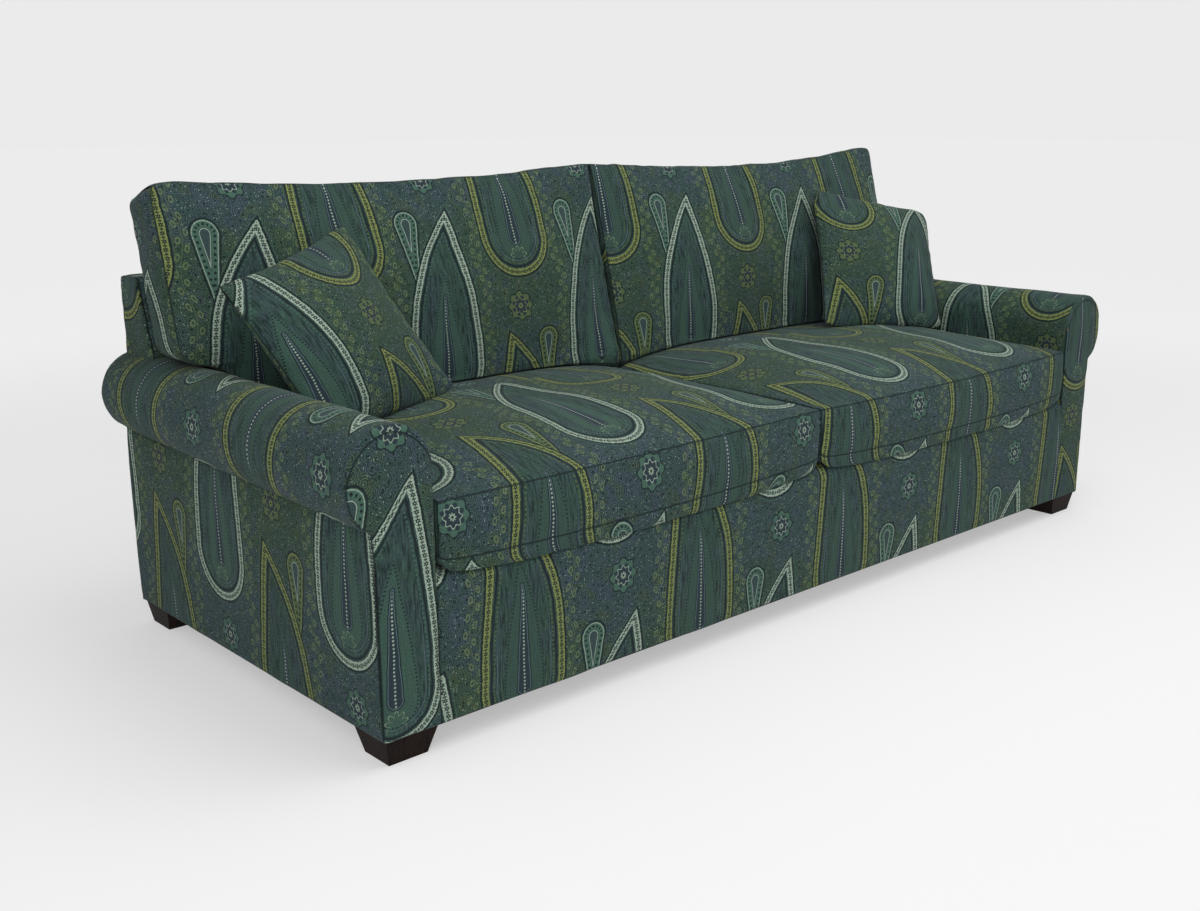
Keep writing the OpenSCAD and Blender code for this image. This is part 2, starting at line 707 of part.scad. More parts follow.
// Outer side of a back cushion at height z, which follows the arm and reaches over its roll
function back_side(z) = z >= ear_low ? back_x1
    : z <= roll_z ? arm_in - side_gap
    : roll_x - sqrt(max(0, roll_clear * roll_clear - pow(z - roll_z, 2)));
function back_rear_y(z) = face_y(z) - rest_gap;
function back_reach(v) = mix(back_low_reach, back_top_reach, v) / cos(back_lean);
function back_point(u, row, front) = let (
    z_row = back_rows[row],
    v = (z_row - back_foot_z) / (back_cushion_h - back_foot_z),
    x = mix(back_x0 + seat_pull * sin(180 * v), back_side(z_row), u),
    lift = front ? 0 : -back_box_t * sin(back_lean) * pow(v, 3),
    z_free = z_row + lift - top_dip * pow(v, 3) * sin(180 * u),
    rear_seam = back_reach(v) - back_box_t / cos(back_lean),
    out = front ? back_reach(v) + back_crown * dome(u) * (1 - pow(2 * v - 1, 2))
        : rear_seam * (1 - dome(u) * dome(v)),
    y = back_rear_y(z_free) - out
) [x, y, row == 0 ? seat_top(x, y) + crown_gap : z_free];
module back_form() {
    grid = function(front)
        [for (j = [0:back_m]) [for (i = [0:back_n]) back_point(eased(i, back_n), j, front)]];
    face = grid(true);
    rear = grid(false);
    edge = rim(back_n, back_m);
    loops = [for (t = boxing_steps) [for (q = edge) let (
        p = mix(face[q[1]][q[0]], rear[q[1]][q[0]], t),
        out = boxing_bulge * sin(180 * t)
    ) q[1] == 0 ? [p[0], p[1], seat_top(p[0], p[1]) + crown_gap]
        : q[1] == back_m ? p + [0, 0, out]
        : q[0] == back_n && back_rows[q[1]] > ear_low ? p + [out, 0, 0] : p]];
    grid_form(back_n, back_m, face, rear, loops);
}
// Fibre slab of a back cushion, with its wing over the arm
back_mid = (back_low_reach + back_top_reach - back_box_t) / 2;
back_fill_drop = 110;
back_fill_rise = 30;
function up_slope(z) = (z - back_h) / cos(back_lean);
module back_fill(o) {
    front = -back_mid - back_fill_t / 2 - o;
    rear = -back_mid + back_fill_t / 2 + o;
    top = up_slope(back_cushion_h - back_fill_drop) + o;
    on_back() union() {
        block([back_x0 + wrap - o, front, up_slope(back_foot_z + back_fill_rise) - o],
            [arm_in - side_gap - wrap + o, rear, top]);
        block([arm_in - roll_r, front, up_slope(ear_low + back_fill_rise) - o],
            [back_x1 - wrap + o, rear, top]);
    }
}
// The zip of a back cushion lies in a recess along the boxing of its foot
foot_zip_y = back_foot_y + back_box_t / 2;
zip_room = 8;
foot_zip_z = seat_top(seat_mid_x, foot_zip_y) + crown_gap + zip_room;
module on_back_foot() {
    translate([seat_mid_x, foot_zip_y, foot_zip_z]) rotate([180, 0, 0]) children();
}
module back_cushion_cover(left) {
    color(cloth) side(left) {
        difference() {
            back_form();
            back_fill(fill_gap);
            on_back_foot() block([-zip_len / 2 - puller_out, -zip_tape_w / 2 - side_gap, 0],
                [zip_len / 2 + puller_out, zip_tape_w / 2 + side_gap, seat_crown]);
        }
        on_back_foot() zip_chain();
    }
}
module back_cushion_fill(left) { color(foam) side(left) back_fill(0); }
module back_zip_slider(left) { side(left) on_back_foot() zip_slider(); }

// Throw pillow: a knife-edged square that leans back and slumps over the arm

pillow_n = 12;
pillow_fill_n = 8;
pillow_edge = 2;
pillow_hollow = 11;
pillow_cavity = 0.89;
pillow_wall = 40;
pillow_up = let (v = [tan(pillow_slump), tan(pillow_lean), 1]) v / norm(v);
pillow_arm_gap = 20;
pillow_foot = arm_in - pillow_arm_gap;
pillow_top_z = seat_seam + seat_crown + pillow_lift + pillow_side * pillow_up[2];
pillow_inner_y = back_rear_y(pillow_top_z)
    - back_reach((pillow_top_z - back_foot_z) / (back_cushion_h - back_foot_z)) - back_crown - pillow_gap
    - pillow_side * pillow_up[1];
pillow_low_out = let (x = pillow_foot, y = pillow_inner_y - pillow_w * sin(pillow_turn))
    [x, y, seat_top(x, y) + crown_gap + pillow_lift];
pillow_low_in = let (x = pillow_foot - pillow_w * cos(pillow_turn))
    [x, pillow_inner_y, seat_top(x, pillow_inner_y) + crown_gap + pillow_lift];
pillow_face = let (n = cross(pillow_low_out - pillow_low_in, pillow_up)) n / norm(n);

// Puff of the pillow at a place, from 0 at its seams to 1 in its middle
function puff(u, v) = pow(max(0, sin(180 * u) * sin(180 * v)), 0.55);
function pillow_point(u, v, front, shrink) = let (
    s = mix(0.5, u, shrink),
    t = mix(0.5, v, shrink),
    foot = mix(pillow_low_in, pillow_low_out, s),
    rise = (pillow_side - pillow_squash * s - pillow_hollow * sin(180 * s)) * t,
    pull = [pillow_hollow * sin(180 * t) * (1 - 2 * s), 0, 0],
    sink = (1 - t) * (foot[2] - seat_top(foot[0], foot[1]) - crown_gap) * (1 - pow(abs(2 * s - 1), 6)),
    half = pillow_edge + (pillow_t / 2 - pillow_edge) * puff(u, v) * shrink,
    p = foot + pillow_up * rise + pull - [0, 0, sink] + pillow_face * (front ? half : -half),
    floor_z = seat_top(p[0], p[1]) + crown_gap + (1 - shrink) * pillow_wall
) [p[0], p[1], max(p[2], floor_z)];
module pillow_form(n, shrink) {
    grid = function(front) [for (j = [0:n]) [for (i = [0:n])
        pillow_point(eased(i, n), eased(j, n), front, shrink)]];
    grid_form(n, n, grid(true), grid(false), []);
}
module throw_pillow_cover(left) {
    color(cloth) side(left) difference() {
        pillow_form(pillow_n, 1);
        pillow_form(pillow_fill_n, pillow_cavity);
    }
}
module throw_pillow_fill(left) {
    color(foam) side(left) pillow_form(pillow_fill_n, pillow_cavity - 4 * fill_gap / pillow_t);
}

front_rail();
rear_rail();
side_rail(true);  // side_rail_left
side_rail(false);  // side_rail_right
centre_rail();
corner_blocks();
arm_front(true);  // arm_front_left
arm_front(false);  // arm_front_right
arm_rear(true);  // arm_rear_left
arm_rear(false);  // arm_rear_right
arm_top_rail(true);  // arm_top_rail_left
arm_top_rail(false);  // arm_top_rail_right
back_post(true);  // back_post_left
back_post(false);  // back_post_right
back_top_rail();
back_low_rail();
back_centre_post();
seat_springs();
seat_spring_clips();
back_springs();
back_spring_clips();
spring_felt();
deck_pad();
front_rail_pad();
arm_pad(true);  // arm_pad_left
arm_pad(false);  // arm_pad_right
back_pad();
deck_cover();
front_rail_cover();
arm_inside_cover(true);  // arm_inside_cover_left
arm_inside_cover(false);  // arm_inside_cover_right
arm_outside_cover(true);  // arm_outside_cover_left
arm_outside_cover(false);  // arm_outside_cover_right
arm_front_cover(true);  // arm_front_cover_left
arm_front_cover(false);  // arm_front_cover_right
back_inside_cover();
back_outside_cover();
dust_cover();
foot(true, false);  // foot_front_left
foot(false, false);  // foot_front_right
foot(true, true);  // foot_rear_left
foot(false, true);  // foot_rear_right
foot_bolts();
foot_nuts();
seat_cushion_cover(true);  // seat_cushion_cover_left
seat_cushion_cover(false);  // seat_cushion_cover_right
seat_cushion_foam(true);  // seat_cushion_foam_left
seat_cushion_foam(false);  // seat_cushion_foam_right
back_cushion_cover(true);  // back_cushion_cover_left
back_cushion_cover(false);  // back_cushion_cover_right
back_cushion_fill(true);  // back_cushion_fill_left
back_cushion_fill(false);  // back_cushion_fill_right
throw_pillow_cover(true);  // throw_pillow_cover_left
throw_pillow_cover(false);  // throw_pillow_cover_right
throw_pillow_fill(true);  // throw_pillow_fill_left
throw_pillow_fill(false);  // throw_pillow_fill_right
seat_zip_slider(true);  // seat_zip_slider_left
seat_zip_slider(false);  // seat_zip_slider_right
back_zip_slider(true);  // back_zip_slider_left
back_zip_slider(false);  // back_zip_slider_right
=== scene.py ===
"""Looks of a three-seater sofa with rolled arms, built around its packed construction.

The construction gives every size and place. This script replaces its plain soft solids with
sewn, padded and printed cloth, dresses the wood, foam and steel, and sets the camera and lights.
"""

from __future__ import annotations

import json
import logging
import math
from contextlib import contextmanager
from dataclasses import dataclass
from enum import Enum
from typing import Callable, Iterator, Sequence, TypeVar

import bmesh
import bpy
import numpy as np
from mathutils import Matrix, Vector

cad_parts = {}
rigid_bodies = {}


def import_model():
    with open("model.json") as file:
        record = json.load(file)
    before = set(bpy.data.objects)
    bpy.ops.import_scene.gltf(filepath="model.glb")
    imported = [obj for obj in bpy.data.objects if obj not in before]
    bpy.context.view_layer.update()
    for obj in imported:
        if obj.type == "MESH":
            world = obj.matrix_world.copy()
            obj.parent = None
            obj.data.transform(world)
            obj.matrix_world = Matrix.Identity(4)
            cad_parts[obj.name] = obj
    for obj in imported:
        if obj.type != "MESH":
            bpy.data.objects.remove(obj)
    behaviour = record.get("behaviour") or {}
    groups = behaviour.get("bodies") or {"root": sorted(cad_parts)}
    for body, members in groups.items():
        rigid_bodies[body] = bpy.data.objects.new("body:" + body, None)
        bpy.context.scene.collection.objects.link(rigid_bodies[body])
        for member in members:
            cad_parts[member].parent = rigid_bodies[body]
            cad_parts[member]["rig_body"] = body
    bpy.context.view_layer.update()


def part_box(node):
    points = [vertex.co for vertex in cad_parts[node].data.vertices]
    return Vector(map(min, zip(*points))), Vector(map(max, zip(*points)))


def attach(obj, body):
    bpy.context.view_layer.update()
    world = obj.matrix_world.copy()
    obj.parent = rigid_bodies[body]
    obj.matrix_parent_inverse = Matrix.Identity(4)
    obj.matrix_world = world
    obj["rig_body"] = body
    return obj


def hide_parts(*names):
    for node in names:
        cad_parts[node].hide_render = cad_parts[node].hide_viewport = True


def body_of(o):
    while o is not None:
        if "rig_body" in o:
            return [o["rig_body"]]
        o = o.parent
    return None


log = logging.getLogger("sofa")

Colour = tuple[float, float, float]
Seams = tuple[bool, bool, bool, bool]
Place = Callable[[np.ndarray], np.ndarray]
Value = TypeVar("Value")

CLOTH_MAP = "cloth"
SEAM_MAP = "seam"
NO_SEAM = 1.0
AT_SEAM = 0.0015
FLAT = 2.0
FIRST_OPEN: Seams = (False, True, True, True)
STAPLE_STRAY = 0.0004
UNSEWN: Seams = (False, False, False, False)


class Side(Enum):
    """The two halves of the sofa, with the sign of X on each."""

    LEFT = -1
    RIGHT = 1

    @property
    def word(self) -> str:
        """Name of the side as the construction spells it."""
        return self.name.lower()

    def pick(self, right: Value, left: Value) -> Value:
        """The one of two values that belongs to the side."""
        return right if self is Side.RIGHT else left


def srgb(red: int, green: int, blue: int) -> Colour:
    """Turns a colour seen on a screen into the linear colour that a shader takes.

    Args:
        red: Red from 0 to 255.
        green: Green from 0 to 255.
        blue: Blue from 0 to 255.

    Returns:
        The linear colour.
    """

    def linear(value: int) -> float:
        part = value / 255
        return part / 12.92 if part <= 0.04045 else ((part + 0.055) / 1.055) ** 2.4

    return linear(red), linear(green), linear(blue)


def mix(low: float, high: float, share: float) -> float:
    """Value at a share of the way from low to high."""
    return low + (high - low) * share


def dome(share: np.ndarray | float) -> np.ndarray | float:
    """Height of a crown that is flat in the middle and falls to its seams."""
    return 1 - np.abs(2 * share - 1) ** 4


def smooth(share: np.ndarray | float) -> np.ndarray | float:
    """Share from 0 to 1 that starts and ends gently."""
    held = np.clip(share, 0, 1)
    return held * held * (3 - 2 * held)


def eased(count: int) -> np.ndarray:
    """Places from 0 to 1 that lie closer together near both ends."""
    even = np.linspace(0, 1, count + 1)
    return 0.45 * even + 0.55 * (1 - np.cos(np.pi * even)) / 2


# Shader trees


def operator(operation: str, swapped: bool = False) -> Callable[["Wire", "Wire | float"], "Wire"]:
    """Makes an operator of wires.

    Args:
        operation: Operation of the Math node that it adds.
        swapped: Whether the other number comes first.

    Returns:
        The operator.
    """

    def run(self: "Wire", other: "Wire | float") -> "Wire":
        pair = (other, self) if swapped else (self, other)
        return self.graph.math(operation, *pair)

    return run


class Wire:
    """A number in a shader tree that takes part in plain arithmetic."""

    def __init__(self, graph: "Graph", socket: bpy.types.NodeSocket) -> None:
        """Keeps the socket that the number comes from."""
        self.graph = graph
        self.socket = socket

    def __abs__(self) -> "Wire":
        """Size without its sign."""
        return self.graph.math("ABSOLUTE", self)

    __add__ = operator("ADD")
    __radd__ = __add__
    __sub__ = operator("SUBTRACT")
    __rsub__ = operator("SUBTRACT", swapped=True)
    __mul__ = operator("MULTIPLY")
    __rmul__ = __mul__
    __truediv__ = operator("DIVIDE")
    __gt__ = operator("GREATER_THAN")
    __lt__ = operator("LESS_THAN")


class Graph:
    """Builds the nodes of one tree from plain expressions."""

    def __init__(self, tree: bpy.types.NodeTree) -> None:
        """Starts on an existing tree."""
        self.tree = tree

    def node(self, kind: str, **settings: object) -> bpy.types.Node:
        """Adds a node and sets its properties.

        Args:
            kind: Blender's name of the node type.
            **settings: Properties to set on the node.

        Returns:
            The new node.
        """
        made = self.tree.nodes.new(kind)
        for name, value in settings.items():
            setattr(made, name, value)
        return made

    def feed(self, socket: bpy.types.NodeSocket, value: object) -> None:
        """Links a wire to a socket, or sets a plain value on it."""
        if isinstance(value, Wire):
            self.tree.links.new(value.socket, socket)
        elif isinstance(value, tuple) and len(value) == 3 and socket.type == "RGBA":
            socket.default_value = (*value, 1.0)
        else:
            socket.default_value = value

    def step(self, kind: str, out: str, given: dict[str, object], **settings: object) -> Wire:
        """Adds a node.

        Args:
            kind: Blender's name of the node type.
            out: Name of its output.
            given: Values and wires for its inputs, by name.
            **settings: Properties to set on the node.

        Returns:
            The output.
        """
        made = self.node(kind, **settings)
        for name, value in given.items():
            self.feed(made.inputs[name], value)
        return Wire(self, made.outputs[out])

    def math(self, operation: str, *values: "Wire | float") -> Wire:
        """Adds a Math node for an operation on the values."""
        made = self.node("ShaderNodeMath", operation=operation)
        for socket, value in zip(made.inputs, values):
            self.feed(socket, value)
        return Wire(self, made.outputs[0])

    def least(self, one: "Wire | float", two: "Wire | float") -> Wire:
        """Smaller of two numbers."""
        return self.math("MINIMUM", one, two)

    def most(self, one: "Wire | float", two: "Wire | float") -> Wire:
        """Larger of two numbers."""
        return self.math("MAXIMUM", one, two)

    def wrap(self, value: Wire, period: float, centre: float = 0.0) -> Wire:
        """Distance from the nearest repeat of a centre, with its sign."""
        return self.math("WRAP", value, centre + period / 2, centre - period / 2) - centre

    def length(self, one: Wire, two: Wire) -> Wire:
        """Length of a plane vector."""
        return self.math("SQRT", one * one + two * two)

    def ramp(self, value: Wire, low: float, high: float) -> Wire:
        """Rises smoothly from 0 at low to 1 at high; low may be the larger."""
        given = {"Value": value, "From Min": low, "From Max": high}
        return self.step("ShaderNodeMapRange", "Result", given, interpolation_type="SMOOTHSTEP")

    def inside(self, distance: Wire, soft: float = 0.0006) -> Wire:
        """One inside an outline, where its distance is negative, with a soft edge."""
        return self.ramp(distance, soft, -soft)

    def line(self, distance: Wire, width: float, soft: float = 0.0005) -> Wire:
        """A line of a width drawn where a distance is zero."""
        return self.inside(abs(distance) - width / 2, soft)

    def choose(self, share: "Wire | float", off: "Wire | float", on: "Wire | float") -> Wire:
        """Mixes two numbers by a share."""
        made = self.node("ShaderNodeMix", data_type="FLOAT")
        self.feed(made.inputs[0], share)
        self.feed(made.inputs[2], off)
        self.feed(made.inputs[3], on)
        return Wire(self, made.outputs[0])

    def paint(self, under: "Wire | Colour", over: "Wire | Colour", mask: "Wire | float") -> Wire:
        """Lays one colour over another where a mask says so."""
        made = self.node("ShaderNodeMix", data_type="RGBA")
        self.feed(made.inputs[0], mask)
        self.feed(made.inputs[6], under)
        self.feed(made.inputs[7], over)
        return Wire(self, made.outputs[2])

    def split(self, vector: Wire) -> tuple[Wire, Wire, Wire]:
        """Parts of a vector."""
        made = self.node("ShaderNodeSeparateXYZ")
        self.feed(made.inputs[0], vector)
        return tuple(Wire(self, out) for out in made.outputs)

    def join(self, x: "Wire | float" = 0.0, y: "Wire | float" = 0.0, z: "Wire | float" = 0.0) -> Wire:
        """Vector from its parts."""
        made = self.node("ShaderNodeCombineXYZ")
        for socket, value in zip(made.inputs, (x, y, z)):
            self.feed(socket, value)
        return Wire(self, made.outputs[0])

    def uv(self, name: str) -> Wire:
        """Coordinates of a UV map."""
        return Wire(self, self.node("ShaderNodeUVMap", uv_map=name).outputs[0])

    def place(self) -> Wire:
        """Coordinates of the object, in metres."""
        return Wire(self, self.node("ShaderNodeTexCoord").outputs["Object"])

    def scaled(self, vector: Wire, scale: tuple[float, float, float]) -> Wire:
        """Vector stretched along each axis."""
        return self.step("ShaderNodeMapping", "Vector", {"Vector": vector, "Scale": scale})

    def noise(self, vector: Wire, scale: float, detail: float = 2.0, rough: float = 0.5) -> Wire:
        """Noise around one half."""
        given = {"Vector": vector, "Scale": scale, "Detail": detail, "Roughness": rough}
        return self.step("ShaderNodeTexNoise", "Fac", given)

    def cells(self, vector: Wire, scale: float, jitter: float = 1.0) -> tuple[Wire, Wire]:
        """Distance from the nearest scattered point, in metres, and that point's own shade."""
        made = self.node("ShaderNodeTexVoronoi", voronoi_dimensions="2D")
        self.feed(made.inputs["Vector"], vector)
        made.inputs["Scale"].default_value = scale
        made.inputs["Randomness"].default_value = jitter
        shade = self.node("ShaderNodeSeparateColor")
        self.tree.links.new(made.outputs["Color"], shade.inputs[0])
        return Wire(self, made.outputs["Distance"]) / scale, Wire(self, shade.outputs[0])

    def dress(self, shader: bpy.types.Node, colour: Wire, height: Wire, depth: float, strength: float) -> None:
        """Gives a shader its colour, and its relief from a height of a depth in metres."""
        self.feed(shader.inputs["Base Color"], colour)
        given = {"Height": height, "Distance": depth, "Strength": strength}
        self.feed(shader.inputs["Normal"], self.step("ShaderNodeBump", "Normal", given))

    def seen(self) -> Wire:
        """One for rays from the camera, also by way of a mirror or of clear glass."""
        ray = self.node("ShaderNodeLightPath")
        camera, glossy, clear = (
            Wire(self, ray.outputs[f"Is {kind} Ray"]) for kind in ("Camera", "Glossy", "Transmission")
        )
        return self.most(self.most(camera, glossy), clear)


class Coat:
    """A colour that is painted over, one layer after another."""

    def __init__(self, graph: Graph, colour: Wire) -> None:
        """Starts on a ground colour."""
        self.graph = graph
        self.colour = colour

    def lay(self, over: "Wire | Colour", mask: "Wire | float") -> None:
        """Lays a colour over it where a mask says so."""
        self.colour = self.graph.paint(self.colour, over, mask)


@dataclass(frozen=True)
class Surface:
    """How a finish takes the light, with every value the same all over."""

    rough: float = 0.6
    metal: float = 0.0
    sheen: float = 0.0
    specular: float = 0.5

    def start(self, name: str) -> tuple[bpy.types.Material, Graph, bpy.types.Node]:
        """Makes a material with this surface.

        Args:
            name: Name of the material.

        Returns:
            The material, a graph on its tree and its shader node.
        """
        material = bpy.data.materials.new(name)
        material.use_nodes = True
        graph = Graph(material.node_tree)
        shader = material.node_tree.nodes["Principled BSDF"]
        for socket, value in (
            ("Roughness", self.rough),
            ("Metallic", self.metal),
            ("Sheen Weight", self.sheen),
            ("Specular IOR Level", self.specular),
        ):
            shader.inputs[socket].default_value = value
        return material, graph, shader


@dataclass(frozen=True)
class Drop:
    """A slim drop figure: a round foot that narrows evenly upwards to a small round tip."""

    foot_r: float
    tip_r: float
    length: float

    def measure(self, graph: Graph, x: Wire, y: Wire) -> tuple[Wire, Wire]:
        """Distance from the drop's outline, and the place along it.

        Args:
            graph: Graph to build in.
            x: Distance to the side of the drop's axis, never negative.
            y: Height above the centre of the drop's foot.

        Returns:
            The distance, negative inside, and the way along the outline.
        """
        lean = (self.foot_r - self.tip_r) / self.length
        rise = math.sqrt(1 - lean * lean)
        along = rise * y - lean * x
        out = rise * x + lean * y
        foot = graph.length(x, y) - self.foot_r
        tip = graph.length(x, y - self.length) - self.tip_r
        near = graph.choose(along > 0.0, foot, out - self.foot_r)
        distance = graph.choose(along > rise * self.length, near, tip)
        round_foot = graph.math("ARCTAN2", along, out) * self.foot_r
        return distance, graph.choose(along > 0.0, round_foot, along)


@dataclass(frozen=True)
class FullDrop:
    """A broad drop figure: a round foot whose sides stay full before they close in a point."""

    half_w: float
    height: float
    fullness: float = 2.3

    def measure(self, graph: Graph, x: Wire, y: Wire) -> tuple[Wire, Wire]:
        """Distance and place along the outline, as Drop.measure gives them."""
        share = graph.least(graph.most(y / self.height, 0.0), 1.3)
        width = (1.0 - graph.math("POWER", share, self.fullness)) * self.half_w
        side = (x - width) * (1.0 - share * share * 0.16)
        foot = graph.length(x, y) - self.half_w
        round_foot = graph.math("ARCTAN2", y, x) * self.half_w
        above = y > 0.0
        return graph.choose(above, foot, side), graph.choose(above, round_foot, y)


@dataclass(frozen=True)
class PrintColours:
    """Inks of the printed cloth; deep also serves as the painted shade along the seams."""

    slate: Colour = srgb(58, 76, 77)
    pine: Colour = srgb(55, 79, 69)
    navy: Colour = srgb(44, 57, 65)
    deep: Colour = srgb(27, 38, 39)
    olive: Colour = srgb(47, 66, 56)
    jade: Colour = srgb(74, 106, 92)
    moss: Colour = srgb(88, 106, 70)
    lime: Colour = srgb(132, 144, 84)
    mint: Colour = srgb(166, 186, 168)
    haze: Colour = srgb(92, 113, 120)


@dataclass(frozen=True)
class PrintedPile:
    """Short-pile cloth printed with paisley drops in a half-drop repeat."""

    inks: PrintColours = PrintColours()
    surface: Surface = Surface(rough=0.95, sheen=0.05, specular=0.12)
    cell_w: float = 0.2225
    cell_h: float = 0.60
    band: float = 0.0145
    curl: float = 0.9
    curl_from: float = 0.13
    bead_pitch: float = 0.0150
    leaf_pitch: float = 0.030
    leaf_off: float = 0.0085
    vine_wave: float = 0.15
    vine_sway: float = 0.007
    wing_at: tuple[float, float] = (0.060, 0.190)
    hub_at: tuple[float, float] = (-0.014, 0.290)
    main: FullDrop = FullDrop(0.093, 0.365, 2.6)
    core: Drop = Drop(0.015, 0.003, 0.19)
    halo: FullDrop = FullDrop(0.046, 0.255, 1.6)
    wing: Drop = Drop(0.027, 0.003, 0.135)
    foot_y: float = -0.150

    def ground(self, graph: Graph, cloth: Wire, up: Wire, wobble: Wire) -> Wire:
        """Ground of the print, with its small scrolls, rings and seeds.

        Args:
            graph: Graph to build in.
            cloth: Place on the cloth.
            up: Height on the cloth.
            wobble: Hand-drawn unevenness, in metres.

        Returns:
            The ground's colour.
        """
        ink = self.inks
        tide = graph.math("COSINE", (up - 0.04) * (2 * math.pi / self.cell_h))
        zone = graph.ramp(tide + (graph.noise(cloth, 8.0) - 0.5) * 2.4, -0.15, 0.45)
        coat = Coat(graph, graph.paint(ink.olive, ink.navy, zone))
        swirl = graph.wrap(graph.noise(cloth, 34.0, 1.5) * 0.30, 0.0065)
        coat.lay(ink.deep, graph.line(swirl, 0.0024, 0.0007) * 0.75)
        sprig = graph.line(graph.wrap(swirl + 0.0032, 0.0065), 0.0011) * 0.8
        coat.lay(graph.paint(ink.moss, ink.haze, zone), sprig)
        near, shade = graph.cells(cloth, 46.0, 0.85)
        rings = graph.line(graph.wrap(near + wobble, 0.0040), 0.0012)
        coat.lay(ink.haze, rings * (shade > 0.70) * 0.7)
        coat.lay(ink.jade, rings * (shade < 0.70) * 0.8)
        coat.lay(ink.moss, rings * (shade < 0.18) * 0.8)
        coat.lay(ink.deep, graph.inside(near - 0.0026) * 0.8)
        seed, tone = graph.cells(cloth, 160.0)
        coat.lay(ink.mint, graph.inside(seed - 0.0011) * (tone > 0.84) * 0.6)
        coat.lay(ink.deep, graph.inside(seed - 0.0017) * (tone < 0.34) * 0.7)
        return coat.colour

    def vine(self, graph: Graph, x: Wire, y: Wire) -> tuple[Wire, Wire]:
        """Winding stem with round leaves between the columns.

        Args:
            graph: Graph to build in.
            x: Distance to the right of the nearest border between columns.
            y: Height on the cloth.

        Returns:
            The share of stem and the share of leaf.
        """
        pitch, off = self.leaf_pitch, self.leaf_off
        way = x - graph.math("SINE", y * (2 * math.pi / self.vine_wave)) * self.vine_sway
        stem = graph.line(way, 0.0016)
        left = graph.length(way + off, graph.wrap(y, pitch) * 0.7)
        right = graph.length(way - off, graph.wrap(y, pitch, pitch / 2) * 0.7)
        leaf = graph.least(left, right)
        return stem, graph.inside(abs(leaf - 0.0038) - 0.0013)

    def beads(self, graph: Graph, along: Wire, across: Wire) -> Wire:
        """Dark florets and bars that run along the middle of a band.

        Args:
            graph: Graph to build in.
            along: Way along the band.
            across: Distance from the middle of the band.

        Returns:
            One where the band is dark.
        """
        pitch = self.bead_pitch
        step = graph.wrap(along, pitch)
        reach = graph.length(step, across)
        turn = graph.math("ARCTAN2", across, step)
        petals = graph.math("COSINE", turn * 6.0) * 0.0012 + 0.0040
        floret = graph.inside(reach - petals) * graph.ramp(reach, 0.0008, 0.0015)
        between = graph.wrap(along, pitch, pitch / 2)
        bar = graph.inside(graph.length(between * 1.7, across) - 0.0036, 0.0008)
        return graph.most(floret, bar * 0.85)

    def colour(self, graph: Graph, cloth: Wire) -> tuple[Wire, Wire]:
        """Builds the print.

        Args:
            graph: Graph to build in.
            cloth: Place on the cloth, in metres.

        Returns:
            The print's colour, and one where the pale band lies.
        """
        ink = self.inks
        ragged = (graph.noise(cloth, 340.0, 1.5) - 0.5) * 0.0046
        wobble = (graph.noise(cloth, 38.0, 1.0) - 0.5) * 0.006
        across, up, _ = graph.split(cloth)
        coat = Coat(graph, self.ground(graph, cloth, up, wobble))

        column = graph.math("FLOOR", across / self.cell_w)
        odd = graph.math("PINGPONG", column, 1.0)
        x = (across - (column + 0.5) * self.cell_w) * (1.0 - odd * 2.0) + wobble * 0.5
        y = graph.wrap(up + odd * (self.cell_h / 2), self.cell_h)
        band_ink = graph.paint(ink.lime, ink.mint, odd)
        field_ink = graph.paint(ink.moss, ink.jade, odd)
        rise = y - self.foot_y
        bent = x + graph.math("POWER", graph.most(rise - self.curl_from, 0.0), 2.0) * self.curl
        side = abs(bent)

        stem, leaf = self.vine(graph, graph.wrap(across, self.cell_w), up)
        coat.lay(ink.moss, stem * 0.9)
        coat.lay(graph.paint(ink.lime, ink.jade, 0.4), leaf * 0.7)

        # Slim drop that hangs beside the tip of each large one
        wing_x = abs(x - self.wing_at[0])
        wing_d, wing_s = self.wing.measure(graph, wing_x, self.wing_at[1] - y)
        berries = graph.length(graph.wrap(wing_s, 0.0115), wing_d + 0.0080) - 0.0028
        coat.lay(ink.deep, graph.inside(wing_d - 0.0040 + ragged))
        coat.lay(field_ink, graph.inside(wing_d + ragged))
        coat.lay(band_ink, graph.line(wing_d + 0.0020, 0.0018) * 0.8)
        coat.lay(ink.deep, graph.inside(berries) * graph.inside(wing_d))
        coat.lay(ink.slate, graph.inside(wing_d + 0.0145))
        coat.lay(ink.mint, graph.line(wing_d + 0.0165, 0.0014))

        # Rosette between one large drop and the next
        hub_x = x - self.hub_at[0]
        hub_y = graph.wrap(y, self.cell_h, self.hub_at[1])
        hub = graph.length(hub_x, hub_y)
        lobes = graph.math("COSINE", graph.math("ARCTAN2", hub_y, hub_x) * 8.0) * 0.0030
        coat.lay(ink.deep, graph.inside(hub - 0.0330 - lobes))
        coat.lay(field_ink, graph.inside(hub - 0.0300 - lobes + ragged))
        coat.lay(ink.navy, graph.inside(hub - 0.0215 + lobes))
        coat.lay(band_ink, graph.line(hub - 0.0165 - lobes * 0.8, 0.0022) * 0.8)
        coat.lay(band_ink, graph.inside(hub - 0.0060 - lobes * 0.5) * 0.8)
        coat.lay(ink.deep, graph.inside(hub - 0.0025))

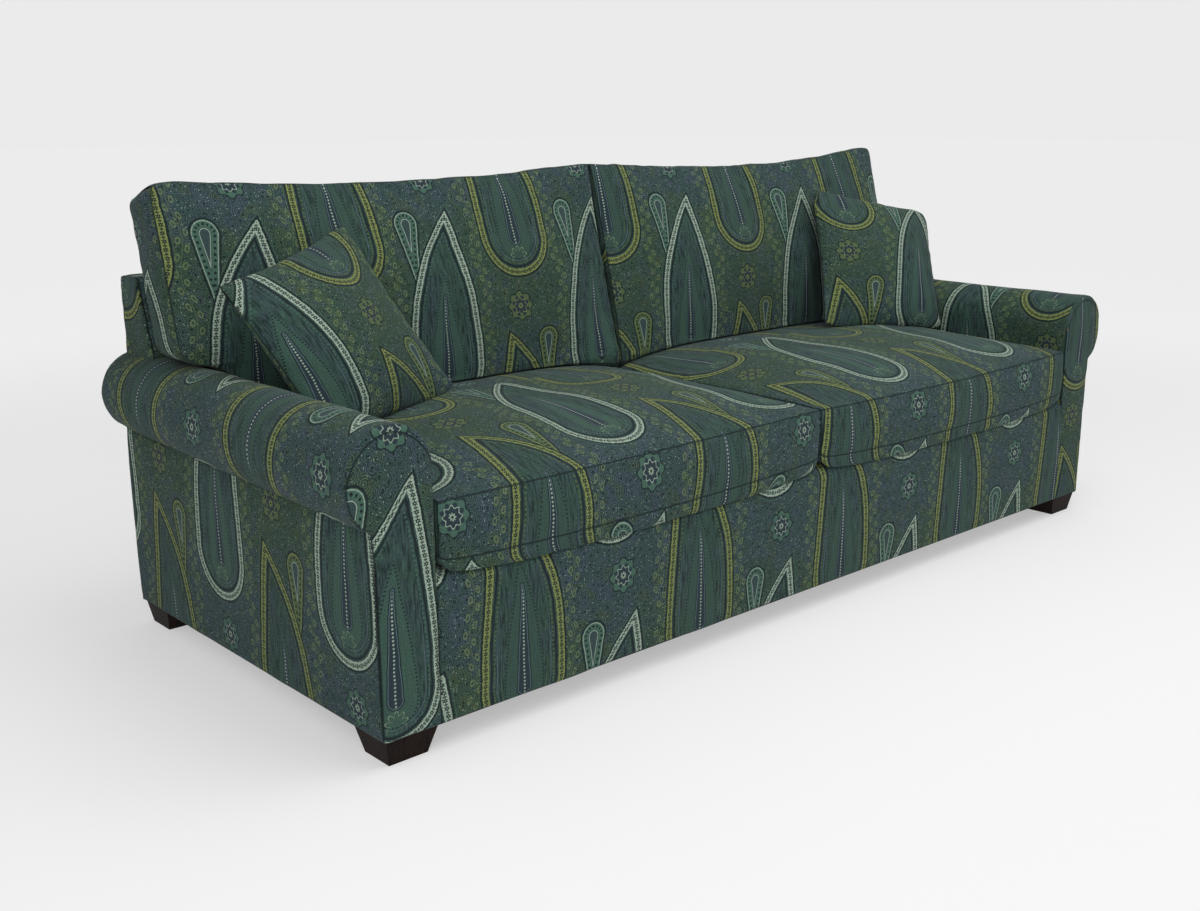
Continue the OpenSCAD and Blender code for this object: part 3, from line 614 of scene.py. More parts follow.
        # Large drop: beaded band, seeded border and streaked field
        big_d, big_s = self.main.measure(graph, side, rise)
        depth = (big_d + ragged) * -1.0
        coat.lay(field_ink, graph.line(depth + 0.0075, 0.0012) * 0.8)
        coat.lay(ink.deep, graph.ramp(depth, -0.0050, -0.0034))
        soil = graph.paint(ink.slate, ink.pine, graph.ramp(graph.noise(cloth, 16.0), 0.40, 0.60))
        streak = graph.noise(graph.scaled(cloth, (260.0, 26.0, 1.0)), 1.0, 2.0)
        soil = graph.paint(soil, ink.deep, graph.ramp(streak, 0.50, 0.60) * 0.75)
        soil = graph.paint(soil, ink.jade, graph.ramp(streak, 0.40, 0.33) * 0.55)
        dash = graph.noise(graph.scaled(cloth, (430.0, 70.0, 1.0)), 1.0, 1.0)
        soil = graph.paint(soil, ink.haze, graph.ramp(dash, 0.66, 0.72) * 0.8)
        coat.lay(soil, graph.inside(big_d + self.band))
        border = graph.length(graph.wrap(big_s, 0.0085), big_d + 0.0265) - 0.0021
        coat.lay(ink.deep, graph.line(big_d + 0.0200, 0.0045))
        coat.lay(field_ink, graph.inside(border) * 0.9)
        arch = graph.line(big_d + 0.0330 + wobble * 0.2, 0.0013) * graph.ramp(rise, 0.20, 0.05)
        coat.lay(ink.haze, arch)
        inner_arch = graph.wrap(big_d + wobble * 0.25, 0.0105)
        inner_mask = graph.line(inner_arch, 0.0012) * graph.inside(big_d + 0.0400)
        inner_mask = inner_mask * graph.ramp(rise, 0.16, -0.02)
        coat.lay(field_ink, inner_mask * 0.7)
        band = graph.inside(big_d + ragged) * graph.inside(abs(depth - self.band / 2) - self.band / 2)
        coat.lay(band_ink, band)
        beads = self.beads(graph, big_s, big_d + self.band / 2)
        coat.lay(ink.deep, beads * band)

        # Tinted figure inside the large drop, with a slim drop and its spine of dots
        low_y = rise + 0.014
        halo_d, halo_s = self.halo.measure(graph, side, low_y)
        tint = graph.paint(ink.pine, ink.jade, odd * 0.35 + 0.25)
        coat.lay(tint, graph.inside(halo_d + ragged, 0.0015) * 0.75)
        teeth = graph.length(graph.wrap(halo_s, 0.0070), halo_d + 0.0030) - 0.0020
        coat.lay(ink.deep, graph.inside(teeth) * 0.9)
        core_d, _ = self.core.measure(graph, side, low_y - 0.004)
        coat.lay(ink.deep, graph.inside(core_d - 0.0022))
        coat.lay(ink.haze, graph.line(core_d + 0.0008, 0.0017))
        coat.lay(ink.navy, graph.inside(core_d + 0.0024))
        dots = graph.length(side, graph.wrap(rise, 0.0068)) - 0.0019
        coat.lay(ink.mint, graph.inside(dots) * graph.inside(core_d + 0.0030))

        # Fan at the foot of the slim drop
        fan_y = rise + 0.050
        fan = graph.length(x, fan_y)
        fan_turn = graph.math("ARCTAN2", x, fan_y)
        fan_edge = abs(graph.math("COSINE", fan_turn * 4.5)) * 0.0100 + 0.0120
        fan_mask = graph.line(fan - fan_edge, 0.0016) * graph.ramp(fan_y, -0.014, -0.006)
        coat.lay(graph.paint(ink.lime, ink.mint, 0.5), fan_mask * 0.85)
        return coat.colour, band

    def build(self, name: str) -> bpy.types.Material:
        """Makes the printed cloth.

        Args:
            name: Name of the material.

        Returns:
            The material, which reads the cloth map, and the seam map for its seam relief and the painted shade
            along its seams.
        """
        material, graph, shader = self.surface.start(name)
        cloth = graph.uv(CLOTH_MAP)
        colour, band = self.colour(graph, cloth)
        yarn = graph.noise(graph.scaled(cloth, (1.0, 0.55, 1.0)), 1100.0, 1.0)
        tuft = graph.noise(cloth, 330.0, 2.0, 0.6)
        shade = graph.ramp(tuft, 0.32, 0.66)
        colour = graph.paint(colour, self.inks.deep, (1.0 - shade) * 0.42)
        colour = graph.paint(colour, self.inks.haze, graph.ramp(yarn, 0.56, 0.74) * 0.22)
        signed, _, _ = graph.split(graph.uv(SEAM_MAP))
        seam = abs(signed)
        # Painted shade: the cloth is darkened towards the deep ink along every seam, where the seam's groove
        # would shade it.
        colour = graph.paint(colour, self.inks.deep, graph.ramp(seam, 0.0027, 0.0009) * 0.85)
        pile = tuft * 0.7 + yarn * 0.3 + band * 0.15 - graph.ramp(seam, 0.003, 0.0) * 1.6
        graph.dress(shader, colour, pile, 0.0008, 0.6)
        return material


@dataclass(frozen=True)
class Wood:
    """Wood with its grain along one axis."""

    early: Colour
    late: Colour
    surface: Surface
    grain: tuple[float, float, float] = (4.0, 46.0, 46.0)

    def build(self, name: str) -> bpy.types.Material:
        """Makes the wood."""
        material, graph, shader = self.surface.start(name)
        place = graph.place()
        drawn = graph.scaled(place, self.grain)
        figure = graph.noise(drawn, 1.6, 4.0, 0.6)
        rings = graph.math("PINGPONG", figure * 9.0, 1.0)
        pore = graph.noise(graph.scaled(place, tuple(4 * part for part in self.grain)), 6.0, 2.0)
        colour = graph.paint(self.early, self.late, graph.ramp(rings, 0.15, 0.9))
        colour = graph.paint(colour, self.late, graph.ramp(pore, 0.58, 0.70) * 0.6)
        graph.dress(shader, colour, pore + rings * 0.3, 0.0003, 0.5)
        return material


@dataclass(frozen=True)
class Foam:
    """Open-cell foam or bonded fibre."""

    body: Colour
    pore: Colour
    cell: float = 900.0
    surface: Surface = Surface(rough=0.95, specular=0.2)

    def build(self, name: str) -> bpy.types.Material:
        """Makes the foam."""
        material, graph, shader = self.surface.start(name)
        place = graph.place()
        cells = graph.noise(place, self.cell, 2.0, 0.7)
        cloud = graph.noise(place, 9.0, 3.0)
        colour = graph.paint(self.body, self.pore, graph.ramp(cells, 0.52, 0.72) * 0.7)
        colour = graph.paint(colour, self.pore, graph.ramp(cloud, 0.5, 0.8) * 0.25)
        graph.dress(shader, colour, cells, 0.0008, 0.7)
        return material


@dataclass(frozen=True)
class PlainCloth:
    """Plain cloth with a square weave."""

    thread: Colour
    gap: Colour
    pitch: float = 0.0011
    surface: Surface = Surface(rough=0.9, specular=0.2, sheen=0.1)

    def build(self, name: str) -> bpy.types.Material:
        """Makes the cloth."""
        material, graph, shader = self.surface.start(name)
        x, y, z = graph.split(graph.place())
        turn = 2 * math.pi / self.pitch
        warp = graph.math("SINE", (x + z * 0.5) * turn)
        weft = graph.math("SINE", (y + z * 0.5) * turn)
        weave = warp * weft * 0.5 + 0.5
        fleck = graph.noise(graph.place(), 300.0, 2.0)
        colour = graph.paint(self.thread, self.gap, graph.ramp(weave, 0.65, 0.2) * 0.6)
        colour = graph.paint(colour, self.gap, graph.ramp(fleck, 0.55, 0.75) * 0.5)
        graph.dress(shader, colour, weave + fleck * 0.4, 0.0004, 0.6)
        return material


@dataclass(frozen=True)
class Steel:
    """Drawn or pressed steel with a thin oil film."""

    bright: Colour
    dull: Colour
    surface: Surface = Surface(rough=0.38, metal=1.0)

    def build(self, name: str) -> bpy.types.Material:
        """Makes the steel."""
        material, graph, shader = self.surface.start(name)
        place = graph.place()
        drawn = graph.noise(graph.scaled(place, (40.0, 40.0, 400.0)), 8.0, 3.0)
        spots = graph.noise(place, 60.0, 4.0)
        colour = graph.paint(self.bright, self.dull, graph.ramp(spots, 0.45, 0.75))
        graph.feed(shader.inputs["Roughness"], 0.30 + drawn * 0.22)
        graph.dress(shader, colour, drawn, 0.0001, 0.4)
        return material


class Finishes:
    """Every finish on the sofa, each made once."""

    def __init__(self) -> None:
        """Makes the materials."""
        self.print = PrintedPile().build("printed_pile")
        self.feet = Wood(
            srgb(30, 18, 12), srgb(14, 8, 6), Surface(rough=0.6, specular=0.10), (46.0, 46.0, 5.0)
        ).build("dark_stained_wood")
        self.frame = Wood(srgb(205, 172, 128), srgb(170, 132, 88), Surface(rough=0.7)).build("planed_hardwood")
        self.foam = Foam(srgb(238, 226, 184), srgb(196, 178, 130)).build("upholstery_foam")
        self.fibre = Foam(srgb(240, 240, 236), srgb(206, 206, 202), 420.0).build("bonded_fibre")
        self.felt = Foam(srgb(132, 130, 124), srgb(84, 82, 80), 520.0).build("needled_felt")
        self.dust = PlainCloth(srgb(38, 38, 40), srgb(16, 16, 18), 0.0016).build("black_dust_cloth")
        self.steel = Steel(srgb(176, 178, 182), srgb(120, 118, 116)).build("spring_steel")
        self.zip_tape = PlainCloth(srgb(44, 56, 54), srgb(24, 32, 32), 0.0009).build("zip_tape")


# Meshes


@dataclass
class Panel:
    """A four-sided piece of cloth, as rows of points.

    Attributes:
        points: Places of the points, rows by columns by 3, in metres.
        cloth: Place of each point in the print, rows by columns by 2, in metres.
        seams: Whether the first row, last row, first column and last column are sewn.
        away: Distance of each point from the seam, negative beyond it, if it isn't at the edge.
    """

    points: np.ndarray
    cloth: np.ndarray
    seams: Seams = (True, True, True, True)
    away: np.ndarray | None = None

    def from_seam(self) -> np.ndarray:
        """Distance of each point from the nearest sewn edge, measured on the cloth."""
        if self.away is not None:
            return self.away

        def run(axis: int) -> np.ndarray:
            steps = np.linalg.norm(np.diff(self.points, axis=axis), axis=2)
            pad = [(0, 0), (0, 0)]
            pad[axis] = (1, 0)
            return np.pad(np.cumsum(steps, axis=axis), pad)

        down, over = run(0), run(1)
        nearest = np.full(down.shape, NO_SEAM)
        for sewn, way in zip(self.seams, (down, down[-1:] - down, over, over[:, -1:] - over)):
            if sewn:
                nearest = np.minimum(nearest, way)
        return nearest


@contextmanager
def edited(mesh: bpy.types.Mesh) -> Iterator[bmesh.types.BMesh]:
    """Opens a mesh for editing, and writes it back afterwards."""
    work = bmesh.new()
    work.from_mesh(mesh)
    yield work
    work.to_mesh(mesh)
    work.free()


def added(name: str, data: bpy.types.ID) -> bpy.types.Object:
    """Adds an object with its data to the scene."""
    made = bpy.data.objects.new(name, data)
    bpy.context.collection.objects.link(made)
    return made


def stack(*parts: np.ndarray | float) -> np.ndarray:
    """Stacks coordinates along a last axis, each spread out to the shape of all."""
    return np.stack(np.broadcast_arrays(*parts), axis=-1)


def sew(name: str, panels: Sequence[Panel], finish: bpy.types.Material) -> bpy.types.Object:
    """Joins panels along their shared edges into one mesh.

    Args:
        name: Name of the piece.
        panels: Panels of the piece.
        finish: Its material.

    Returns:
        The piece, with its print map and its seam map.
    """
    points: list[np.ndarray] = []
    faces: list[tuple[int, int, int, int]] = []
    prints: list[np.ndarray] = []
    seams: list[np.ndarray] = []
    start = 0
    for panel in panels:
        rows, columns = panel.points.shape[:2]
        ids = start + np.arange(rows * columns).reshape(rows, columns)
        quads = np.stack([ids[:-1, :-1], ids[:-1, 1:], ids[1:, 1:], ids[1:, :-1]], axis=-1).reshape(-1, 4)
        faces.extend(map(tuple, quads.tolist()))
        points.append(panel.points.reshape(-1, 3))
        prints.append(panel.cloth.reshape(-1, 2))
        seams.append(panel.from_seam().reshape(-1))
        start += rows * columns
    mesh = bpy.data.meshes.new(name)
    mesh.from_pydata(np.concatenate(points).tolist(), [], faces)
    corner = corner_points(mesh)
    for map_name, values in ((CLOTH_MAP, np.concatenate(prints)), (SEAM_MAP, stack(np.concatenate(seams), 0))):
        layer = mesh.uv_layers.new(name=map_name)
        layer.data.foreach_set("uv", values[corner].astype(np.float32).ravel())
    with edited(mesh) as work:
        bmesh.ops.remove_doubles(work, verts=work.verts, dist=0.0002)
        bmesh.ops.dissolve_degenerate(work, edges=work.edges, dist=0.00005)
        bmesh.ops.recalc_face_normals(work, faces=work.faces)
    mesh.materials.append(finish)
    for polygon in mesh.polygons:
        polygon.use_smooth = True
    return added(name, mesh)


def corner_points(mesh: bpy.types.Mesh) -> np.ndarray:
    """Number of the point at each corner of a mesh's faces."""
    corner = np.empty(len(mesh.loops), dtype=np.int64)
    mesh.loops.foreach_get("vertex_index", corner)
    return corner


def coordinates(mesh: bpy.types.Mesh, kind: str = "co") -> np.ndarray:
    """Places of a mesh's points as an array, or with "normal" their directions."""
    flat = np.empty(len(mesh.vertices) * 3)
    mesh.vertices.foreach_get(kind, flat)
    return flat.reshape(-1, 3)


def move_points(mesh: bpy.types.Mesh, places: np.ndarray) -> None:
    """Puts a mesh's points at new places."""
    mesh.vertices.foreach_set("co", places.astype(np.float32).ravel())
    mesh.update()


def face_out(piece: bpy.types.Object) -> None:
    """Turns the faces of a closed piece outwards, if its volume says that they point in."""
    with edited(piece.data) as work:
        if work.calc_volume(signed=True) < 0:
            bmesh.ops.reverse_faces(work, faces=work.faces)
    piece.data.update()


def subdivide(piece: bpy.types.Object) -> None:
    """Adds a smooth subdivision that is the same in the view and in the render."""
    rounder = piece.modifiers.new("smooth", "SUBSURF")
    rounder.levels = rounder.render_levels = 1
    rounder.uv_smooth = "NONE"


def thicken(piece: bpy.types.Object, thickness: float) -> None:
    """Gives a sheet its thickness, towards its rear."""
    wall = piece.modifiers.new("thickness", "SOLIDIFY")
    wall.thickness = thickness
    wall.offset = -1


def ease(piece: bpy.types.Object, radius: float, sharp: float) -> None:
    """Rounds the edges of a piece that turn by more than an angle in degrees."""
    rounding = piece.modifiers.new("rounding", "BEVEL")
    rounding.width = radius
    rounding.segments = 3
    rounding.limit_method = "ANGLE"
    rounding.angle_limit = math.radians(sharp)


def unevenness(places: np.ndarray, size: float, seed: int) -> np.ndarray:
    """Smooth seeded unevenness between -1 and 1 over places.

    Args:
        places: Places, points by 3, in metres.
        size: Size of one swell, in metres.
        seed: Seed of the pattern.

    Returns:
        One value for each place.
    """
    maker = np.random.default_rng(seed)
    total = np.zeros(len(places))
    waves = 14
    for _ in range(waves):
        way = maker.normal(size=3)
        way /= np.linalg.norm(way)
        pitch = size * maker.uniform(0.7, 1.6)
        total += np.sin(places @ way * (2 * math.pi / pitch) + maker.uniform(0, 2 * math.pi))
    return total / math.sqrt(waves)


@dataclass(frozen=True)
class Stuffing:
    """How a sewn cover swells over its filling.

    Attributes:
        cap: Most that a point may move, in metres.
        swell: Height of its wide swells, in metres.
        gather: Height of the short puckers beside its seams, in metres.
        hold: How firmly its seams are held, from 0 to 1.
        full: How full it is, from 0 to 1; not used.
        pressure: Pressure of the filling on the cloth.
        frames: Steps of the simulation.
    """

    cap: float
    swell: float
    gather: float
    hold: float = 0.95
    full: float = 0.7
    pressure: float = 4.0
    frames: int = 20

    def fill(self, piece: bpy.types.Object, held: np.ndarray) -> None:
        """Swells a cover by cloth simulation and keeps the result.

        Args:
            piece: The cover.
            held: How firmly each point is held, from 0 to 1.
        """
        face_out(piece)
        mesh = piece.data
        before = coordinates(mesh)
        out = coordinates(mesh, "normal")
        group = piece.vertex_groups.new(name="held")
        for level in np.unique(held.round(2)):
            where = np.nonzero(held.round(2) == level)[0].tolist()
            group.add(where, float(level), "REPLACE")
        cloth = piece.modifiers.new("cloth", "CLOTH")
        settings = cloth.settings
        settings.quality = 5
        settings.mass = 0.3
        settings.tension_stiffness = 15
        settings.compression_stiffness = 15
        settings.shear_stiffness = 5
        settings.bending_stiffness = 1.0
        settings.use_pressure = True
        settings.uniform_pressure_force = self.pressure
        settings.effector_weights.gravity = 0
        settings.vertex_group_mass = group.name
        cloth.collision_settings.use_collision = False
        cloth.point_cache.frame_start = 1
        cloth.point_cache.frame_end = self.frames
        scene = bpy.context.scene
        for frame in range(1, self.frames + 1):
            scene.frame_set(frame)
        view = piece.evaluated_get(bpy.context.evaluated_depsgraph_get())
        after = coordinates(view.to_mesh())
        view.to_mesh_clear()
        piece.modifiers.remove(cloth)
        piece.vertex_groups.remove(group)
        scene.frame_set(1)
        shift = after - before
        far = np.linalg.norm(shift, axis=1, keepdims=True)
        scale = self.cap * np.tanh(far / self.cap) / np.maximum(far, 1e-9)
        shift = shift * scale * (1 - held[:, None])
        move_points(mesh, before + shift)
        rise = np.sum(shift * out, axis=1) * 1000
        log.info("%s swells by %.1f mm, from %.1f to %.1f", piece.name, rise.mean(), rise.min(), rise.max())


def seam_distance(piece: bpy.types.Object) -> np.ndarray:
    """Least distance from a seam at each point of a sewn piece."""
    mesh = piece.data
    flat = np.empty(len(mesh.loops) * 2)
    mesh.uv_layers[SEAM_MAP].data.foreach_get("uv", flat)
    nearest = np.full(len(mesh.vertices), NO_SEAM)
    np.minimum.at(nearest, corner_points(mesh), flat[0::2])
    return nearest


def pucker(piece: bpy.types.Object, seed: int, swell: float = 0.0015, gather: float = 0.0010) -> None:
    """Gives a sewn piece the small unevenness of real upholstery.

    Args:
        piece: The piece.
        seed: Seed of the unevenness.
        swell: Height of the wide swells, in metres.
        gather: Height of the short puckers beside the seams, in metres.
    """
    mesh = piece.data
    places = coordinates(mesh)
    away = np.abs(seam_distance(piece))
    wide = unevenness(places, 0.16, seed) * swell
    short = unevenness(places, 0.035, seed + 1) * gather * np.exp(-(((away - 0.016) / 0.016) ** 2))
    groove = -0.0013 * np.exp(-((away / 0.004) ** 2))
    fade = 1 - np.exp(-away / 0.02)
    move = wide * fade + short + groove
    move_points(mesh, places + coordinates(mesh, "normal") * move[:, None])


# Sizes read from the construction


@dataclass(frozen=True)
class SofaSizes:
    """Main sizes of the sofa, in metres, read from the frame."""

    half_w: float
    half_d: float
    foot_h: float
    arm_in: float
    roll_r: float
    arm_h: float
    deck_z: float
    back_h: float
    back_w: float
    back_t: float = 0.075
    back_lean: float = math.radians(17)
    edge_r: float = 0.0065
    hem_r: float = 0.006
    hem_in: float = 0.016
    tuck: float = 0.0015
    waist: float = 0.4264

    @classmethod
    def from_frame(cls) -> "SofaSizes":
        """Reads the sizes from the boxes of the construction's nodes."""
        inside_low, inside_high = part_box("arm_inside_cover_right")
        return cls(
            half_w=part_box("arm_outside_cover_right")[1].x,
            half_d=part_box("back_outside_cover")[1].y,
            foot_h=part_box("dust_cover")[0].z,
            arm_in=inside_low.x,
            roll_r=(inside_high.x - inside_low.x) / 2,
            arm_h=inside_high.z,
            deck_z=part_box("deck_cover")[1].z,
            back_h=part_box("back_inside_cover")[1].z,
            back_w=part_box("back_inside_cover")[1].x,
        )

    @property
    def roll_x(self) -> float:
        """X of the middle of the right arm roll."""
        return self.arm_in + self.roll_r

    @property
    def roll_z(self) -> float:
        """Height of the middle of an arm roll."""
        return self.arm_h - self.roll_r

    @property
    def low_turn(self) -> float:
        """Angle, seen from the middle of the roll, at which the outside panel starts."""
        return math.asin((self.waist - self.roll_z) / self.roll_r)

    def roll_reach(self, heights: np.ndarray, clear: float = 0.0) -> np.ndarray:
        """Half the width of the arm roll at heights, or of a round that stays clear of it."""
        return np.sqrt(np.clip((self.roll_r + clear) ** 2 - (heights - self.roll_z) ** 2, 0, None))

    def face_y(self, z: np.ndarray | float) -> np.ndarray | float:
        """Y of the inside of the back at a height."""
        return self.half_d - self.back_t - (self.back_h - z) * math.tan(self.back_lean)


# Outlines and stations


def arc(centre: tuple[float, float], radius: float, start: float, end: float, steps: int) -> np.ndarray:
    """Points along an arc.

    Args:
        centre: Centre of the arc.
        radius: Radius of the arc.
        start: First angle in degrees.
        end: Last angle in degrees.
        steps: Number of chords.

    Returns:
        Points by 2.
    """
    turns = np.radians(np.linspace(start, end, steps + 1))
    return stack(centre[0] + radius * np.cos(turns), centre[1] + radius * np.sin(turns))


def outline(*pieces: Sequence) -> np.ndarray:
    """Joins points and arcs into one plane outline without repeats."""
    line = np.concatenate([np.atleast_2d(np.array(piece, dtype=float)) for piece in pieces])
    keep = np.concatenate([[True], np.linalg.norm(np.diff(line, axis=0), axis=1) > 1e-6])
    return line[keep]


def filled(line: np.ndarray, step: float) -> np.ndarray:
    """Adds points to the long stretches of an outline, so that none is longer than a step."""
    points = [line[:1]]
    for start, end in zip(line[:-1], line[1:]):
        count = max(1, int(math.ceil(np.linalg.norm(end - start) / step)))
        share = np.linspace(0, 1, count + 1)[1:, None]
        points.append(start + (end - start) * share)
    return np.concatenate(points)


def way_along(line: np.ndarray) -> np.ndarray:
    """Distance of each point of a line from its first."""
    return np.concatenate([[0], np.cumsum(np.linalg.norm(np.diff(line, axis=0), axis=1))])


def stations(low: float, high: float, step: float, edge: float = 0.009) -> np.ndarray:
    """Places between two ends that lie closer together at the ends.

    Args:
        low: First place.
        high: Last place.
        step: Distance between places in the middle.
        edge: Width of the close stretch at each end.

    Returns:
        The places.
    """
    fine = edge * np.array([0.0, 0.12, 0.38, 0.70])
    inner = np.linspace(low + edge, high - edge, max(2, int(round((high - low - 2 * edge) / step)) + 1))
    return np.concatenate([low + fine, inner, (high - fine)[::-1]])


def set_back(distance: np.ndarray, radius: float) -> np.ndarray:
    """How far a rounded edge lies behind its face, at a distance from the edge."""
    left = np.clip(radius - distance, 0, radius)
    return radius - np.sqrt(radius**2 - left**2)


def placed(panel: Panel, side: Side, shift: tuple[float, float]) -> Panel:
    """Panel of the right half as it lies on a side, with its print the right way round and moved."""
    turn = np.array([side.value, 1.0, 1.0])
    return Panel(panel.points * turn, panel.cloth * turn[:2] + np.array(shift), panel.seams, panel.away)


def flat_panel(node: str, top: float, sag: float) -> Panel:
    """Panel over the box of a flat node.

    Args:
        node: The node.
        top: Height of the panel at its edges.
        sag: How far it sags in the middle.

    Returns:
        The panel.
    """
    low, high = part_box(node)
    x, y = np.meshgrid(stations(low.x, high.x, 0.03), stations(low.y, high.y, 0.03))
    hang = dome((x - low.x) / (high.x - low.x)) * dome((y - low.y) / (high.y - low.y))
    return Panel(stack(x, y, top - sag * hang), stack(x, y))


def area_of(panels: Sequence[Panel]) -> float:
    """Area of cloth in panels."""
    total = 0.0
    for panel in panels:
        one = panel.points[1:, 1:] - panel.points[:-1, :-1]
        two = panel.points[1:, :-1] - panel.points[:-1, 1:]
        total += float(np.linalg.norm(np.cross(one, two), axis=2).sum()) / 2
    return total


# Assemblies


@dataclass
class Assembly:
    """Part of the sofa that is built and dressed together.

    Attributes:
        sizes: Main sizes of the sofa.
        finishes: Finishes of the sofa.
        step: Distance between points of its cloth, in metres.
        cloth_t: Thickness of the cloth with its lining, in metres.
    """

    sizes: SofaSizes
    finishes: Finishes
    step: float = 0.013
    cloth_t: float = 0.0022

    def settle(self, piece: bpy.types.Object, body: str, slot: str, *nodes: str) -> None:
        """Binds a finished piece to its body, and hides the nodes that it stands for."""
        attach(piece, body)
        if nodes:
            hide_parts(*nodes)
        log.info("%s: %d faces on %s", piece.name, len(piece.data.polygons), body)

    def stretch(self, name: str, panels: Sequence[Panel], seed: int, node: str) -> bpy.types.Object:
        """Makes a cover that is stretched over the frame.

        Args:
            name: Name of the piece.
            panels: Its cloth.
            seed: Seed of its unevenness.
            node: Node that it stands for.

        Returns:
            The cover.
        """
        piece = sew(name, panels, self.finishes.print)
        pucker(piece, seed, swell=0.0009, gather=0.0007)
        thicken(piece, self.cloth_t)
        self.settle(piece, "frame", "print_cloth", node)
        prints = np.concatenate([panel.cloth.reshape(-1, 2) for panel in panels])
        flat = np.ptp(prints, axis=0)
        area = min(area_of(panels), float(flat[0] * flat[1]))
        return piece


@dataclass
class Arm(Assembly):
    """One arm: its front facing, its roll with the inside, and its outside panel."""

    side: Side = Side.RIGHT
    facing_puff: float = 0.003
    belly: float = 0.003
    seam_drop: float = 0.013
    slump: float = 0.017
    slump_low: float = 0.33
    stand_off: float = 0.0050

    @property
    def depths(self) -> np.ndarray:
        """Y of the points of the roll and of the outside."""
        end = self.sizes.half_d - self.sizes.edge_r + self.sizes.tuck
        return stations(-end, end, self.step)

    def slumped(self, points: np.ndarray) -> np.ndarray:
        """Lets the outer lower part of the roll hang, more so towards the front.

        Args:
            points: Places on the right arm, in any array that ends in 3.

        Returns:
            The same places after they hang.
        """
        s = self.sizes
        x, y, z = (points[..., axis] for axis in range(3))
        angle = np.degrees(np.arctan2(z - s.roll_z, x - s.roll_x))
        low = smooth((25 - angle) / 75) * smooth((x - s.roll_x + 0.03) / 0.05)
        low = low * smooth((z - self.slump_low) / (s.waist - self.slump_low))
        forward = np.clip((s.half_d - y) / (2 * s.half_d), 0, 1)
        moved = points.copy()
        moved[..., 0] += self.stand_off * low * np.sqrt(forward)
        moved[..., 2] -= self.slump * low * forward**0.7
        return moved

    def facing(self) -> Panel:
        """Front facing with its soft edge turned back all round."""
        s = self.sizes
        straight = stations(s.foot_h, s.waist, self.step, s.edge_r)[:-4]
        round_top = s.roll_z + s.roll_r * np.sin(np.linspace(s.low_turn, math.pi / 2, 26))
        heights = np.concatenate([straight, round_top])
        inner = np.where(heights <= s.roll_z, s.arm_in, s.roll_x - s.roll_reach(heights))
        outer = np.where(heights <= s.waist, s.half_w, s.roll_x + s.roll_reach(heights))
        share = (1 - np.cos(np.linspace(0, np.pi, 23))) / 2
        x = inner[:, None] + (outer - inner)[:, None] * share
        z = heights[:, None]
        from_roll = s.roll_r - np.hypot(x - s.roll_x, z - s.roll_z)
        left = np.where(z <= s.roll_z, x - s.arm_in, from_roll)
        outer_round = np.where((z > s.roll_z) | (x > s.roll_x), from_roll, s.roll_r)
        right = np.where(z <= s.waist, s.half_w - x, outer_round)
        rim = np.minimum(left, right)
        edge = np.clip(np.minimum(rim, z - s.foot_h), 0, None)
        inset = self.seam_drop * smooth((z - s.roll_z + 0.02) / s.roll_r)
        puff = self.facing_puff * (1 - np.exp(-((edge / 0.03) ** 2)))
        points = self.slumped(stack(x, -s.half_d + set_back(edge, s.edge_r) - puff, z))
        return Panel(points, stack(x, z), away=np.clip(rim, 0, None) - inset)

    def roll(self) -> Panel:
        """Inside and roll in one piece, from the seat deck up and over to under the roll."""
        s = self.sizes
        foot = (s.arm_in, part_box("arm_inside_cover_right")[0].z)
        turn = arc((s.roll_x, s.roll_z), s.roll_r, 180, math.degrees(s.low_turn), 44)
        section = filled(outline(foot, turn), self.step)
        points = self.slumped(stack(section[:, :1], self.depths, section[:, 1:]))
        return Panel(points, stack(self.depths, way_along(section)[:, None]), FIRST_OPEN)

    def outside(self) -> Panel:
        """Outside panel from its hem under the base up to the roll."""
        s = self.sizes
        hem = arc((s.half_w - s.hem_r, s.foot_h + s.hem_r), s.hem_r, -90, 0, 5)
        section = filled(outline((s.half_w - s.hem_in, s.foot_h), hem, (s.half_w, s.waist)), self.step)
        x, z = section[:, :1], section[:, 1:]
        belly = self.belly * dome(np.clip((z - s.foot_h) / (s.waist - s.foot_h), 0, 1))
        return Panel(stack(x + belly, self.depths, z), stack(self.depths, z), FIRST_OPEN)

    def build(self) -> None:
        """Makes the arm's covers."""
        word = self.side.word
        facing_u, roll_u = self.side.pick((-0.935, 0.06), (0.965, -0.04))
        seed = self.side.pick(40, 60)
        for name, panel, shift, node in (
            ("facing", self.facing(), (facing_u, 0.02), "front"),
            ("roll", self.roll(), (roll_u, 0.11), "inside"),
            ("outside", self.outside(), (roll_u, -0.10), "outside"),
        ):
            cloth = [placed(panel, self.side, shift)]
            self.stretch(f"arm_{name}_{word}", cloth, seed, f"arm_{node}_cover_{word}")
            seed += 3


